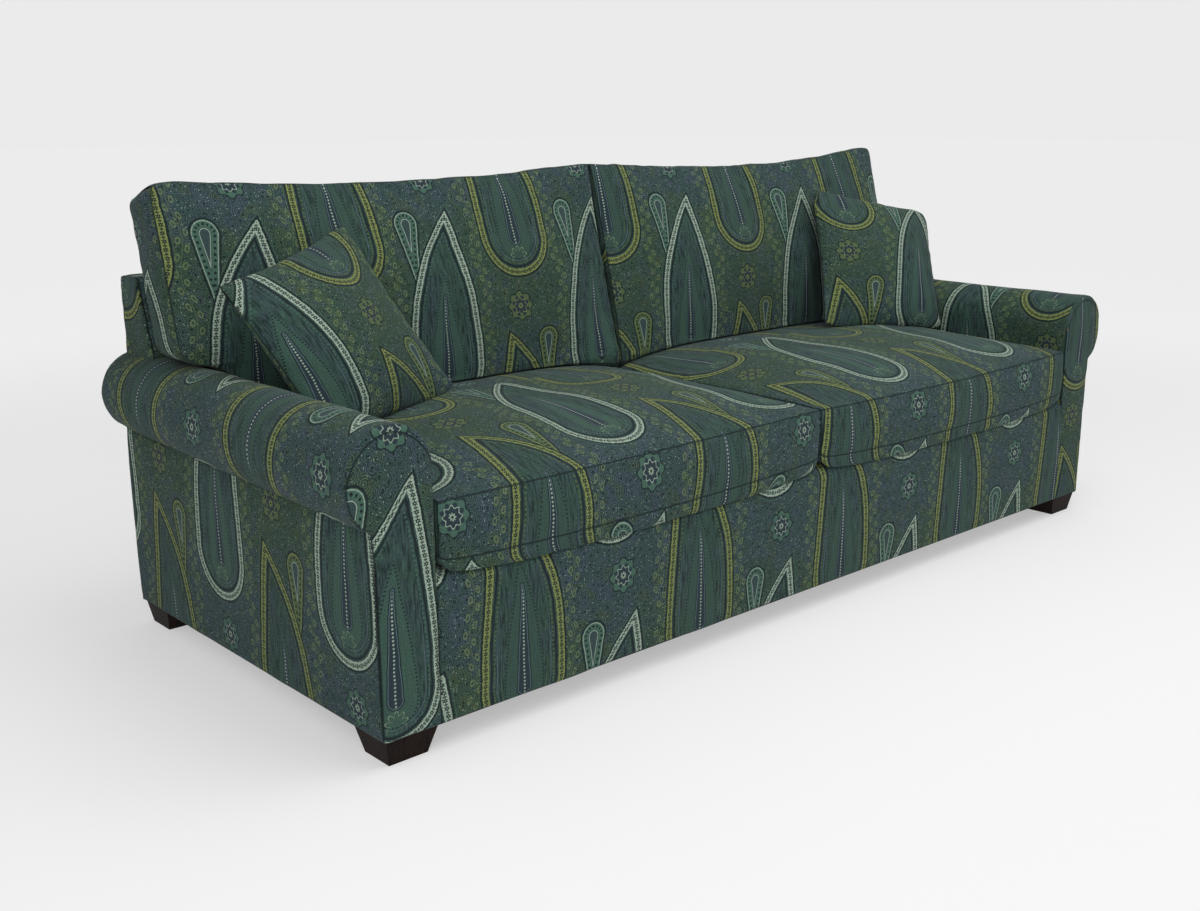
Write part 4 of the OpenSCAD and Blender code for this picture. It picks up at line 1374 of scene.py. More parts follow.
@dataclass
class FrontAndDeck(Assembly):
    """Padded front rail with its lip, and the deck under the seat cushions."""

    lip_r: float = 0.034
    lip_d: float = 0.060
    puff: float = 0.004
    behind: float = 0.0036
    deck_low: float = 0.0006
    deck_sag: float = 0.0012

    def front(self) -> Panel:
        """Front rail panel from its hem under the base, up and over the lip."""
        s = self.sizes
        y0 = -s.half_d
        hem = arc((y0 + s.hem_r, s.foot_h + s.hem_r), s.hem_r, 270, 180, 5)
        lip = arc((y0 + self.lip_r, s.deck_z - self.lip_r), self.lip_r, 180, 90, 9)
        line = outline((y0 + s.hem_in, s.foot_h), hem, lip, (y0 + self.lip_d, s.deck_z))
        section = filled(line, self.step)
        half = s.arm_in + self.behind
        x = stations(-half, half, self.step)
        y, z = section[:, :1], section[:, 1:]
        puff = self.puff * np.sin(np.pi * np.clip((z - s.foot_h) / (s.deck_z - s.foot_h), 0, 1)) ** 0.7
        back = set_back(half - np.abs(x), s.edge_r)
        low = np.where(z > s.deck_z - 0.01, back * 0.5, 0)
        return Panel(stack(x, y - puff + back, z - low), stack(x, way_along(section)[:, None]), FIRST_OPEN)

    def build(self) -> None:
        """Makes the front and the deck."""
        front = placed(self.front(), Side.RIGHT, (0.03, -0.19))
        self.stretch("front_rail_panel", [front], 11, "front_rail_cover")
        deck = flat_panel("deck_cover", self.sizes.deck_z - self.deck_low, self.deck_sag)
        self.stretch("seat_deck", [deck], 15, "deck_cover")


@dataclass
class Back(Assembly):
    """Inside and top of the back with its two ends, and the outside panel."""

    corner_r: float = 0.014
    end_r: float = 0.0065
    gap: float = 0.0005
    rear_in: float = 0.0004

    @property
    def clear_z(self) -> float:
        """Height at which the ends of the back clear the arm rolls."""
        s = self.sizes
        return s.roll_z + math.sqrt(s.roll_r**2 - (s.back_w - self.end_r - s.roll_x) ** 2)

    def side_x(self, heights: np.ndarray) -> np.ndarray:
        """X of the right edge of the inside of the back at heights."""
        s = self.sizes
        beside = s.roll_x - s.roll_reach(heights, self.gap)
        free = np.where(heights < self.clear_z, beside, s.back_w - self.end_r)
        return np.where(heights <= s.roll_z, s.arm_in - self.gap, free)

    def section(self) -> np.ndarray:
        """Outline of the inside and top from the seat deck over to the rear."""
        s = self.sizes
        r = self.corner_r
        top = s.back_h - r
        middle = s.face_y(top) + r / math.cos(s.back_lean)
        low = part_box("back_inside_cover")[0].z
        rises = (low, self.clear_z - self.gap, self.clear_z + self.gap)
        return outline(
            *[(s.face_y(rise), rise) for rise in rises],
            arc((middle, top), r, 180 - math.degrees(s.back_lean), 90, 7),
            arc((s.half_d - r, top), r, 90, 8, 7),
            (s.half_d - 0.0012, top - 0.003),
            (s.half_d - 0.0012, top - 0.009),
        )

    def inside(self) -> Panel:
        """Inside and top of the back."""
        section = filled(self.section(), self.step)
        y, z = section[:, :1], section[:, 1:]
        past_top = np.arange(len(section)) >= int(np.argmax(z))
        edge = np.where(past_top[:, None], self.sizes.back_w - self.end_r, self.side_x(z))
        x = edge * np.linspace(-1, 1, 171)
        return Panel(stack(x, y, z), stack(x, way_along(section)[:, None]), FIRST_OPEN)

    def end(self) -> Panel:
        """Right end of the back, above the arm."""
        s = self.sizes
        line = self.section()
        peak = int(np.argmax(line[:, 1] > s.back_h - 1e-6))
        front, rear = line[: peak + 1], line[peak + 1 :][::-1]
        bend = s.back_h - self.corner_r
        turns = bend + self.corner_r * np.sin(np.linspace(0, np.pi / 2, 9))
        heights = np.concatenate([np.linspace(s.arm_h - 0.024, bend, 13)[:-1], turns])
        near = np.interp(heights, front[:, 1], front[:, 0])[:, None]
        far = np.interp(heights, rear[:, 1], rear[:, 0])
        far = np.where(heights < rear[0, 1], s.half_d - self.rear_in, far)[:, None]
        y = near + (far - near) * (1 - np.cos(np.linspace(0, np.pi, 17))) / 2
        z = heights[:, None]
        edge = np.clip(np.minimum(np.minimum(y - near, far - y), s.back_h - z), 0, None)
        return Panel(stack(s.back_w - set_back(edge, self.end_r), y, z), stack(y, z), FIRST_OPEN)

    def outside(self) -> Panel:
        """Outside panel over the whole rear of the sofa."""
        s = self.sizes
        top = s.back_h - self.corner_r + 0.002
        heights = np.concatenate([
            stations(s.foot_h, s.waist, self.step, self.end_r)[:-4],
            s.roll_z + s.roll_r * np.sin(np.linspace(s.low_turn, math.asin(0.969), 18)),
            np.linspace(s.arm_h - 0.002, top, 14),
        ])
        edge_x = np.maximum(s.roll_x + s.roll_reach(heights), s.back_w)
        edge_x = np.where(heights <= s.waist, s.half_w, edge_x)
        edge_x = np.where(heights >= s.arm_h - 0.003, s.back_w, edge_x)[:, None]
        fine = 1 - np.array([0.0, 0.0006, 0.0024, 0.005, 0.009])
        x = edge_x * np.concatenate([-fine, np.linspace(-0.98, 0.98, 165), fine[::-1]])
        z = heights[:, None]
        edge = np.clip(np.minimum(np.minimum(edge_x - np.abs(x), z - s.foot_h), top - z), 0, None)
        y = s.half_d - set_back(edge, self.end_r) + self.rear_in
        return Panel(stack(x, y, z), stack(-x, z), FIRST_OPEN)

    def build(self) -> None:
        """Makes the covers of the back."""
        panels = [placed(self.inside(), Side.RIGHT, (0.05, 0.17))]
        panels += [placed(self.end(), side, (0.12, 0.31)) for side in Side]
        self.stretch("back_inside_panel", panels, 21, "back_inside_cover")
        outside = placed(self.outside(), Side.RIGHT, (0.02, 0.24))
        self.stretch("back_outside_panel", [outside], 25, "back_outside_cover")


@dataclass
class Stuffed(Assembly):
    """Cover that is sewn, swells over its filling and rides a body of its own.

    Attributes:
        side: Side of the sofa that it is on.
        kind: What it is, as its names spell it.
        seeds: Seeds of its unevenness, on the right and on the left.
        shifts: Places of its cloth in the print, on the right and on the left.
        stuffing: How it swells.
    """

    side: Side = Side.RIGHT
    kind: str = ""
    seeds: tuple[int, int] = (0, 0)
    shifts: tuple[tuple[float, float], tuple[float, float]] = ((0.0, 0.0), (0.0, 0.0))
    stuffing: Stuffing = Stuffing(0.008, 0.0015, 0.001)

    def panels(self) -> list[Panel]:
        """Every piece of cloth, as on the right."""
        raise NotImplementedError

    def held(self, places: np.ndarray, away: np.ndarray) -> np.ndarray:
        """How firmly each point is held while the cover swells, from 0 to 1.

        Args:
            places: Places of the points, as on the right.
            away: Their distances from a seam.

        Returns:
            One value for each point.
        """
        raise NotImplementedError

    def cleared(self, places: np.ndarray) -> np.ndarray:
        """Places of the points, as on the right, kept clear of what is around the cover."""
        raise NotImplementedError

    def build(self) -> None:
        """Makes the cover and binds it to its body."""
        word = self.side.word
        turn = np.array([self.side.value, 1, 1])
        cloth = [placed(panel, self.side, self.side.pick(*self.shifts)) for panel in self.panels()]
        piece = sew(f"{self.kind}_{word}_cover", cloth, self.finishes.print)
        held = self.held(coordinates(piece.data) * turn, seam_distance(piece))
        self.stuffing.fill(piece, held)
        pucker(piece, self.side.pick(*self.seeds), self.stuffing.swell, self.stuffing.gather)
        move_points(piece.data, self.cleared(coordinates(piece.data) * turn) * turn)
        subdivide(piece)
        self.settle(piece, f"{self.kind}_{word}", "print_cloth", f"{self.kind}_cover_{word}")


@dataclass
class SeatCushion(Stuffed):
    """One boxed seat cushion with a crown and a bulging front."""

    kind: str = "seat_cushion"
    seeds: tuple[int, int] = (101, 131)
    shifts: tuple[tuple[float, float], tuple[float, float]] = ((0.015, 0.02), (-0.035, 0.02))
    stuffing: Stuffing = Stuffing(0.009, 0.0016, 0.0011, 0.97, 0.75)
    wrap: float = 0.014
    box_h: float = 0.126
    crown: float = 0.042
    bulge: float = 0.012
    rear_bulge: float = 0.001
    pull: float = 0.005
    forward: tuple[float, float] = (0.006, 0.012)
    sag: float = 0.023
    roll_under: float = 0.026
    front_inset: float = 0.004
    lip_r: float = 0.034
    lip_puff: float = 0.0014
    covered_y: float = 0.02
    covered_rise: float = 0.0008
    open_rise: float = 0.009

    @property
    def ends(self) -> tuple[float, float, float, float]:
        """First and last X and Y of the right cushion."""
        low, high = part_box("seat_cushion_foam_right")
        return low.x - self.wrap, high.x + self.wrap, low.y - self.wrap, high.y + self.wrap

    @property
    def low_z(self) -> float:
        """Height of the underside."""
        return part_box("seat_cushion_cover_right")[0].z

    @property
    def seam_z(self) -> float:
        """Height of the upper seams."""
        return self.low_z + self.box_h

    def top_z(self, x: np.ndarray | float, y: np.ndarray | float) -> np.ndarray | float:
        """Height of the crowned top of the right cushion over a place."""
        x0, x1, y0, y1 = self.ends
        across = np.clip((x - x0) / (x1 - x0), 0, 1)
        along = np.clip((y - y0) / (y1 - y0), 0, 1)
        return self.seam_z + self.crown * dome(across) * dome(along)

    def base(self, u: np.ndarray, v: np.ndarray) -> tuple[np.ndarray, np.ndarray]:
        """X and Y of places on the cushion, whose sides draw in between the corners."""
        x0, x1, y0, y1 = self.ends
        across, along = np.meshgrid(u, v)
        draw_x = self.pull * np.sin(np.pi * along)
        front = y0 - mix(*self.forward, self.fullness(across))
        return mix(x0 + draw_x, x1 - draw_x, across), mix(front, y1, along)

    @staticmethod
    def fullness(share: np.ndarray) -> np.ndarray:
        """How full the front is along its width: full but for the corners."""
        return np.sin(np.pi * np.clip(share, 0, 1)) ** 0.3

    def dip(self, share: np.ndarray) -> np.ndarray:
        """How far the front seam hangs below the other seams along its width."""
        inner, middle, outer = self.side.pick((0.003, 0.007, 0.0), (0.003, 0.002, 0.006))
        return mix(inner, outer, share) + middle * np.sin(np.pi * share)

    def lip_z(self, y: np.ndarray) -> np.ndarray:
        """Height of what carries the cushion: the deck, then the round lip of the front."""
        s = self.sizes
        past = np.clip(-s.half_d + self.lip_r - self.lip_puff - y, 0, self.lip_r)
        return s.deck_z - self.lip_r + np.sqrt(self.lip_r**2 - past**2) + 0.0003

    def boxing(
        self, rim: np.ndarray, out: tuple[int, int], bulge: float, sag: float, share: np.ndarray
    ) -> tuple[Panel, Panel]:
        """Boxing below one of the upper seams, and the cloth that turns in under it.

        Args:
            rim: Points of the seam.
            out: Direction out of the cushion, in X and Y.
            bulge: How far the boxing bulges.
            sag: How far it hangs below the underside.
            share: Place of each point along the seam, from 0 to 1.

        Returns:
            The two panels.
        """
        x0, x1, y0, y1 = self.ends
        middle = np.array([x0 + x1, y0 + y1]) / 2
        half = np.array([x1 - x0, y1 - y0]) / 2
        seam = 1 - self.roll_under / self.box_h
        full = self.fullness(share)
        low = self.low_z - sag * full
        down = np.linspace(0, seam, 10)[:, None]
        swell = bulge * np.sin(np.pi * down) * full
        points = stack(rim[:, 0] + out[0] * swell, rim[:, 1] + out[1] * swell, mix(rim[:, 2], low, down))
        print_u = rim[:, 0] if out[1] else rim[:, 1] * out[0] + 0.3
        boxing = Panel(points, stack(print_u, -down * self.box_h))
        turn = np.radians(np.linspace(0, 90, 7))[:, None]
        last = points[-1]
        away = last[:, :2] - middle
        inset = np.where(away[:, 1] < 0, self.front_inset, self.roll_under)
        x = middle[0] + away[:, 0] * (1 - self.roll_under * (1 - np.cos(turn)) / half[0])
        y = middle[1] + away[:, 1] * (1 - inset * (1 - np.cos(turn)) / half[1])
        under = stack(x, y, mix(last[:, 2], low, np.sin(turn)))
        cloth = stack(print_u, -(seam * self.box_h + self.roll_under * turn))
        return boxing, Panel(under, cloth, (True, False, False, False))

    def panels(self) -> list[Panel]:
        """Every piece of cloth of the right cushion."""
        u, v = eased(78), eased(54)
        x, y = self.base(u, v)
        across, along = np.meshgrid(u, v)
        z = self.seam_z + self.crown * dome(across) * dome(along) - self.dip(across) * (1 - along) ** 6
        top = stack(x, y, z)
        parts = [Panel(top, stack(x, y - y[:1]))]
        for rim, out, bulge, sag, share in (
            (top[0], (0, -1), self.bulge, self.sag, u),
            (top[-1], (0, 1), self.rear_bulge, 0.0, u),
            (top[:, 0], (-1, 0), 0.0, 0.0, v),
            (top[:, -1], (1, 0), 0.0, 0.0, v),
        ):
            parts += self.boxing(rim, out, bulge, sag, share)
        low, high, inner, outer = (under.points[-1] for under in parts[2::2])
        floor = mix(low, high, v[:, None, None])
        floor += (inner - floor[:, 0])[:, None] * (1 - u)[:, None]
        floor += (outer - floor[:, -1])[:, None] * u[:, None]
        return [*parts, Panel(floor, floor[..., :2].copy(), UNSEWN)]

    def held(self, places: np.ndarray, away: np.ndarray) -> np.ndarray:
        """Sides, rear, underside and seams are fast."""
        x0, x1, _, y1 = self.ends
        x, y, z = places.T
        firm = np.zeros(len(places))
        beside = np.minimum(x - x0, x1 - x) < self.pull + 0.002
        firm[(z < self.low_z + self.roll_under * 0.5) | beside | (y > y1 - 0.002)] = 1
        firm[away < AT_SEAM] = self.stuffing.hold
        return firm

    def cleared(self, places: np.ndarray) -> np.ndarray:
        """Keeps the cushion below the back cushion, between its neighbours and on the lip."""
        x0, x1, _, y1 = self.ends
        x, y, z = places.T
        rise = np.where(y > self.covered_y, self.covered_rise, self.open_rise)
        z = np.minimum(z, self.top_z(x, y) + rise)
        y = np.minimum(y, y1 + 0.001)
        return stack(np.clip(x, x0 - 0.001, x1 + 0.002), y, np.maximum(z, self.lip_z(y)))


@dataclass
class BackCushion(Stuffed):
    """One boxed back cushion whose outer end reaches over the arm."""

    kind: str = "back_cushion"
    seeds: tuple[int, int] = (211, 241)
    shifts: tuple[tuple[float, float], tuple[float, float]] = ((0.09, 0.12), (-0.05, 0.12))
    stuffing: Stuffing = Stuffing(0.012, 0.0030, 0.0016)
    seat: SeatCushion | None = None
    top_z: float = 0.926
    reach_low: float = 0.153
    reach_top: float = 0.177
    box_t: float = 0.102
    crown: float = 0.027
    dip: float = 0.020
    pull: float = 0.005
    bulge: float = 0.006
    rest_gap: float = 0.0006
    crown_gap: float = 0.0018
    side_gap: float = 0.004
    ear_x: float = 1.097
    ear_r: float = 0.026
    ear_lifts: tuple[float, float] = (0.020, 0.002)
    corner_r: float = 0.010

    @property
    def foot_y(self) -> float:
        """Y of the face at the foot."""
        s = self.sizes
        return float(s.face_y(self.seat.seam_z)) - self.rest_gap - self.reach_low / math.cos(s.back_lean)

    @property
    def foot_z(self) -> float:
        """Height of the foot in the middle."""
        x0, x1, _, _ = self.seat.ends
        return float(self.seat.top_z((x0 + x1) / 2, self.foot_y)) + self.crown_gap

    @property
    def ear_low(self) -> float:
        """Height at which the ear starts, clear of the arm roll."""
        return self.sizes.arm_h + 3 * self.side_gap

    def side_x(self, heights: np.ndarray) -> np.ndarray:
        """X of the outer side at heights: beside the arm, round its roll, then out over it."""
        s = self.sizes
        rise = np.clip(heights - self.ear_low, 0, self.ear_r)
        ear = self.ear_x - self.ear_r + np.sqrt(self.ear_r**2 - (self.ear_r - rise) ** 2)
        round_roll = s.roll_x - s.roll_reach(heights, self.side_gap)
        out = np.where(heights <= s.roll_z, s.arm_in - self.side_gap, round_roll)
        return np.where(heights >= self.ear_low, ear, out)

    @property
    def rows(self) -> np.ndarray:
        """Heights of the rows of points."""
        s = self.sizes
        below = np.linspace(self.foot_z, s.roll_z, 8)[:-1]
        around = s.roll_z + (s.roll_r + self.side_gap) * np.sin(np.linspace(0, np.pi / 2, 10))
        ear = self.ear_low + self.ear_r * (1 - np.cos(np.linspace(0, np.pi / 2, 6)))
        above = np.linspace(ear[-1], self.top_z - 0.012, 21)[1:]
        tip = self.top_z - np.array([0.008, 0.004, 0.0015, 0.0])
        return np.concatenate([below, around, ear, above, tip])

    def grid(self, front: bool) -> np.ndarray:
        """Points of the face or of the rear."""
        s = self.sizes
        heights = self.rows[:, None]
        v = (heights - self.foot_z) / (self.top_z - self.foot_z)
        u = eased(80)
        x = mix(self.seat.ends[0] + self.pull * np.sin(np.pi * v), self.side_x(heights), u)
        lift = 0.0 if front else -self.box_t * math.sin(s.back_lean) * v**3
        z = heights + lift - self.dip * v**3 * np.sin(np.pi * u)
        corner = (np.clip((u - 0.955) / 0.045, 0, 1) * np.clip((v - 0.93) / 0.07, 0, 1)) ** 2
        x = x - self.corner_r * corner
        z = z + self.side.pick(*self.ear_lifts) * v**4 * u**5 - self.corner_r * corner
        lean = math.cos(s.back_lean)
        reach = mix(self.reach_low, self.reach_top, v) / lean
        if front:
            out = reach + self.crown * dome(u) * (1 - (2 * v - 1) ** 2)
        else:
            out = (reach - self.box_t / lean) * (1 - dome(u) * dome(v))
        y = s.face_y(z) - self.rest_gap - out
        return stack(x, y, np.where(v <= 1e-9, self.seat.top_z(x, y) + self.crown_gap, z))

    def panels(self) -> list[Panel]:
        """Every piece of cloth of the right cushion."""
        face, rear = self.grid(True), self.grid(False)
        over = way_along(face[:, 40])
        parts = [
            Panel(face, stack(face[..., 0], over[:, None])),
            Panel(rear, stack(rear[..., 0], rear[..., 2] + 0.2)),
        ]
        share = np.linspace(0, 1, 11)[:, None]
        swell = self.bulge * np.sin(np.pi * share)
        deep = share * self.box_t
        for name, edge in (("low", 0), ("high", -1), ("inner", np.s_[:, 0]), ("outer", np.s_[:, -1])):
            near = face[edge]
            x, y, z = np.moveaxis(mix(near, rear[edge], share[..., None]), -1, 0)
            cloth = stack(deep + 0.4, way_along(near))
            if name == "low":
                z = self.seat.top_z(x, y) + self.crown_gap
                cloth = stack(near[:, 0], -deep)
            elif name == "high":
                z = z + swell
                cloth = stack(near[:, 0], deep + over[-1])
            elif name == "outer":
                x = x + swell * np.clip((z - self.sizes.arm_h - self.side_gap) / 0.03, 0, 1)
            parts.append(Panel(stack(x, y, z), cloth))
        return parts

    def held(self, places: np.ndarray, away: np.ndarray) -> np.ndarray:
        """Foot, rear, inner side and what is beside the arm are fast."""
        s = self.sizes
        x, y, z = places.T
        firm = np.where(away < AT_SEAM, self.stuffing.hold, 0.0)
        beside = (z < s.arm_h + 0.035) & (x > self.side_x(z) - 0.004)
        inner = x < self.seat.ends[0] + self.pull + 0.002
        firm[beside | inner | (y > s.face_y(z) - 0.035) | (z < self.foot_z + 0.012)] = 1
        return firm

    def cleared(self, places: np.ndarray) -> np.ndarray:
        """Keeps the cushion in front of the back, above the seat and beside its neighbour."""
        s = self.sizes
        x, y, z = places.T
        y = np.where(z < s.back_h, np.minimum(y, s.face_y(z) - 0.0003), y)
        z = np.maximum(z, self.seat.top_z(x, y) + 0.0012)
        return stack(np.maximum(x, self.seat.ends[0] - 0.001), y, z)


@dataclass
class ThrowPillow(Stuffed):
    """One knife-edged throw pillow that leans back and slumps over the arm."""

    kind: str = "throw_pillow"
    seeds: tuple[int, int] = (311, 341)
    shifts: tuple[tuple[float, float], tuple[float, float]] = ((0.03, 0.085), (0.245, 0.085))
    stuffing: Stuffing = Stuffing(0.008, 0.0022, 0.0011, 0.93)
    seat: SeatCushion | None = None
    back: BackCushion | None = None
    width: float = 0.386
    height: float = 0.407
    squash: float = 0.050
    corner_r: float = 0.017
    hollow: float = 0.011
    thick: float = 0.130
    turn: float = math.radians(17)
    lean: float = math.radians(28)
    slump: float = math.radians(23)
    lift: float = 0.020
    arm_gap: float = 0.020
    back_gap: float = 0.026
    grid_n: int = 44

    def floor_z(self, x: np.ndarray | float, y: np.ndarray | float) -> np.ndarray | float:
        """Least height of the pillow over a place on the seat cushion."""
        return self.seat.top_z(x, y) + self.back.crown_gap

    def frame_points(self) -> tuple[np.ndarray, np.ndarray, np.ndarray, np.ndarray]:
        """Lower inner corner, lower outer corner, way up and way out of the face."""
        s, back = self.sizes, self.back
        up = np.array([math.tan(self.slump), math.tan(self.lean), 1.0])
        up /= np.linalg.norm(up)
        head = self.seat.seam_z + self.seat.crown + self.lift + self.height * up[2]
        share = (head - back.foot_z) / (back.top_z - back.foot_z)
        reach = mix(back.reach_low, back.reach_top, share) / math.cos(s.back_lean)
        clear = back.rest_gap + reach + back.crown + self.back_gap
        inner_y = s.face_y(head) - clear - self.height * up[1]
        foot_x = s.arm_in - self.arm_gap
        outer_y = inner_y - self.width * math.sin(self.turn)
        inner_x = foot_x - self.width * math.cos(self.turn)
        outer = np.array([foot_x, outer_y, self.floor_z(foot_x, outer_y) + self.lift])
        inner = np.array([inner_x, inner_y, self.floor_z(inner_x, inner_y) + self.lift])
        face = np.cross(outer - inner, up)
        return inner, outer, up, face / np.linalg.norm(face)

    def grid(self, front: bool) -> np.ndarray:
        """Points of the front or of the rear."""
        inner, outer, up, face = self.frame_points()
        places = eased(self.grid_n)
        s, t = np.meshgrid(places, places)
        near = [np.clip((np.abs(2 * part - 1) - 0.66) / 0.34, 0, 1) for part in (s, t)]
        round_off = (near[0] * near[1]) ** 1.5 * (t > 0.5)
        s = s - np.sign(s - 0.5) * round_off * self.corner_r / self.width
        t = t - round_off * self.corner_r / self.height
        foot = inner + (outer - inner) * s[..., None]
        rise = (self.height - self.squash * s - self.hollow * np.sin(np.pi * s)) * t
        draw = self.hollow * np.sin(np.pi * t) * (1 - 2 * s)
        drop = foot[..., 2] - self.floor_z(foot[..., 0], foot[..., 1])
        sink = (1 - t) * drop * (1 - np.abs(2 * s - 1) ** 6)
        puff = np.clip(np.sin(np.pi * s) * np.sin(np.pi * t), 0, None) ** 0.55
        half = (self.thick / 2 - 0.002) * puff * (1 if front else -1)
        points = foot + up * rise[..., None] + face * half[..., None]
        points[..., 0] += draw
        points[..., 2] -= sink
        return self.cleared(points)

    def panels(self) -> list[Panel]:
        """Front and rear of the right pillow."""
        s, t = np.meshgrid(eased(self.grid_n), eased(self.grid_n))
        cloth = stack(s * self.width, t * self.height)
        return [Panel(self.grid(True), cloth), Panel(self.grid(False), cloth + np.array([0.3, 0.0]))]

    def held(self, places: np.ndarray, away: np.ndarray) -> np.ndarray:
        """Foot and seam are fast."""
        x, y, z = places.T
        firm = np.where(away < AT_SEAM, self.stuffing.hold, 0.0)
        firm[z < self.floor_z(x, y) + 0.004] = 1
        return firm

    def cleared(self, places: np.ndarray) -> np.ndarray:
        """Keeps the pillow above the seat."""
        x, y, z = np.moveaxis(places, -1, 0)
        return stack(x, y, np.maximum(z, self.floor_z(x, y)))


def eased_copy(
    node: str, name: str, finish: bpy.types.Material, radius: float, sharp: float
) -> bpy.types.Object:
    """Makes a copy of a node with whole faces and rounded edges.

    Args:
        node: Node to copy.
        name: Name of the piece.
        finish: Its material.
        radius: Radius of its rounded edges.
        sharp: Least turn of an edge that is rounded, in degrees.

    Returns:
        The piece.
    """
    mesh = bpy.data.objects[node].data.copy()
    mesh.name = name
    mesh.materials.clear()
    mesh.materials.append(finish)
    with edited(mesh) as work:
        bmesh.ops.remove_doubles(work, verts=work.verts, dist=0.00005)
        bmesh.ops.dissolve_limit(work, angle_limit=math.radians(FLAT), verts=work.verts, edges=work.edges)
        bmesh.ops.recalc_face_normals(work, faces=work.faces)
    piece = added(name, mesh)
    ease(piece, radius, sharp)
    return piece


@dataclass
class Fillings(Assembly):
    """Foam, fibre and felt under the covers, softened from the construction's plain solids."""

    deck_pressed: float = 0.0035
    pillow_shrink: float = 0.07
    sheet_t: float = 0.0035
    dust_sag: float = 0.003

    def soften(
        self, node: str, name: str, finish: bpy.types.Material, radius: float, fill: float,
        shrink: float = 0.0, pressed: float = 0.0,
    ) -> None:
        """Makes a softened copy of a node and lets it stand for the node.

        Args:
            node: Node to copy.
            name: Name of the piece.
            finish: Its material.
            radius: Radius of its rounded edges.
            fill: How full it is, from 0 to 1; not used.
            shrink: Share by which it is smaller than its node.
            pressed: How far its upper side is pressed down, in metres.
        """
        piece = eased_copy(node, name, finish, radius, 40)
        places = coordinates(piece.data)
        middle = places.mean(axis=0)
        upper = places[:, 2] > middle[2]
        places = middle + (places - middle) * (1 - shrink)
        places[:, 2] -= pressed * upper
        move_points(piece.data, places)
        body = body_of(bpy.data.objects[node])
        self.settle(piece, body[0] if isinstance(body, list) else body, "foam", node)

    def sheet(self, node: str, name: str, finish: bpy.types.Material, slot: str, sag: float) -> None:
        """Makes a sheet with the box of a flat node and lets it stand for the node."""
        low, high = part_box(node)
        piece = sew(name, [flat_panel(node, high.z, sag)], finish)
        thicken(piece, min(high.z - low.z, self.sheet_t))
        self.settle(piece, "frame", slot, node)

    def build(self) -> None:
        """Makes every filling and the two plain sheets."""
        foam, fibre = self.finishes.foam, self.finishes.fibre
        self.soften("front_rail_pad", "front_rail_padding", foam, 0.004, 0.8)
        self.soften("deck_pad", "seat_deck_pad", fibre, 0.006, 0.6, pressed=self.deck_pressed)
        self.soften("back_pad", "back_padding", foam, 0.004, 0.7)
        for side in Side:
            for node, name, finish, radius, fill, shrink in (
                ("arm_pad", "arm_padding", foam, 0.003, 0.8, 0.0),
                ("seat_cushion_foam", "seat_slab", foam, 0.010, 0.9, 0.0),
                ("back_cushion_fill", "back_slab", fibre, 0.010, 0.6, 0.0),
                ("throw_pillow_fill", "throw_pillow_filling", fibre, 0.004, 0.6, self.pillow_shrink),
            ):
                self.soften(f"{node}_{side.word}", f"{name}_{side.word}", finish, radius, fill, shrink)
        self.sheet("spring_felt", "felt_on_springs", self.finishes.felt, "felt", 0.0)
        self.sheet("dust_cover", "dust_sheet", self.finishes.dust, "dust_cloth", -self.dust_sag)


@dataclass
class Feet(Assembly):
    """Four low tapered feet."""

    corner: float = 0.003

    def build(self) -> None:
        """Makes the feet with eased edges, as copies of the construction."""
        for place in ("front", "rear"):
            for side in Side:
                node = f"foot_{place}_{side.word}"
                piece = eased_copy(node, f"tapered_{node}", self.finishes.feet, self.corner, 60)
                self.settle(piece, "frame", "dark_wood", node)


@dataclass(frozen=True)
class Row:
    """Inputs of a row of small repeated pieces.

    Attributes:
        length: Length of the row.
        pitch: Distance between pieces.
        size: Length, width and height of one piece.
        spread: Sideways distance of each piece from the middle of the row.
    """

    length: float
    pitch: float
    size: tuple[float, float, float]
    spread: float = 0.0


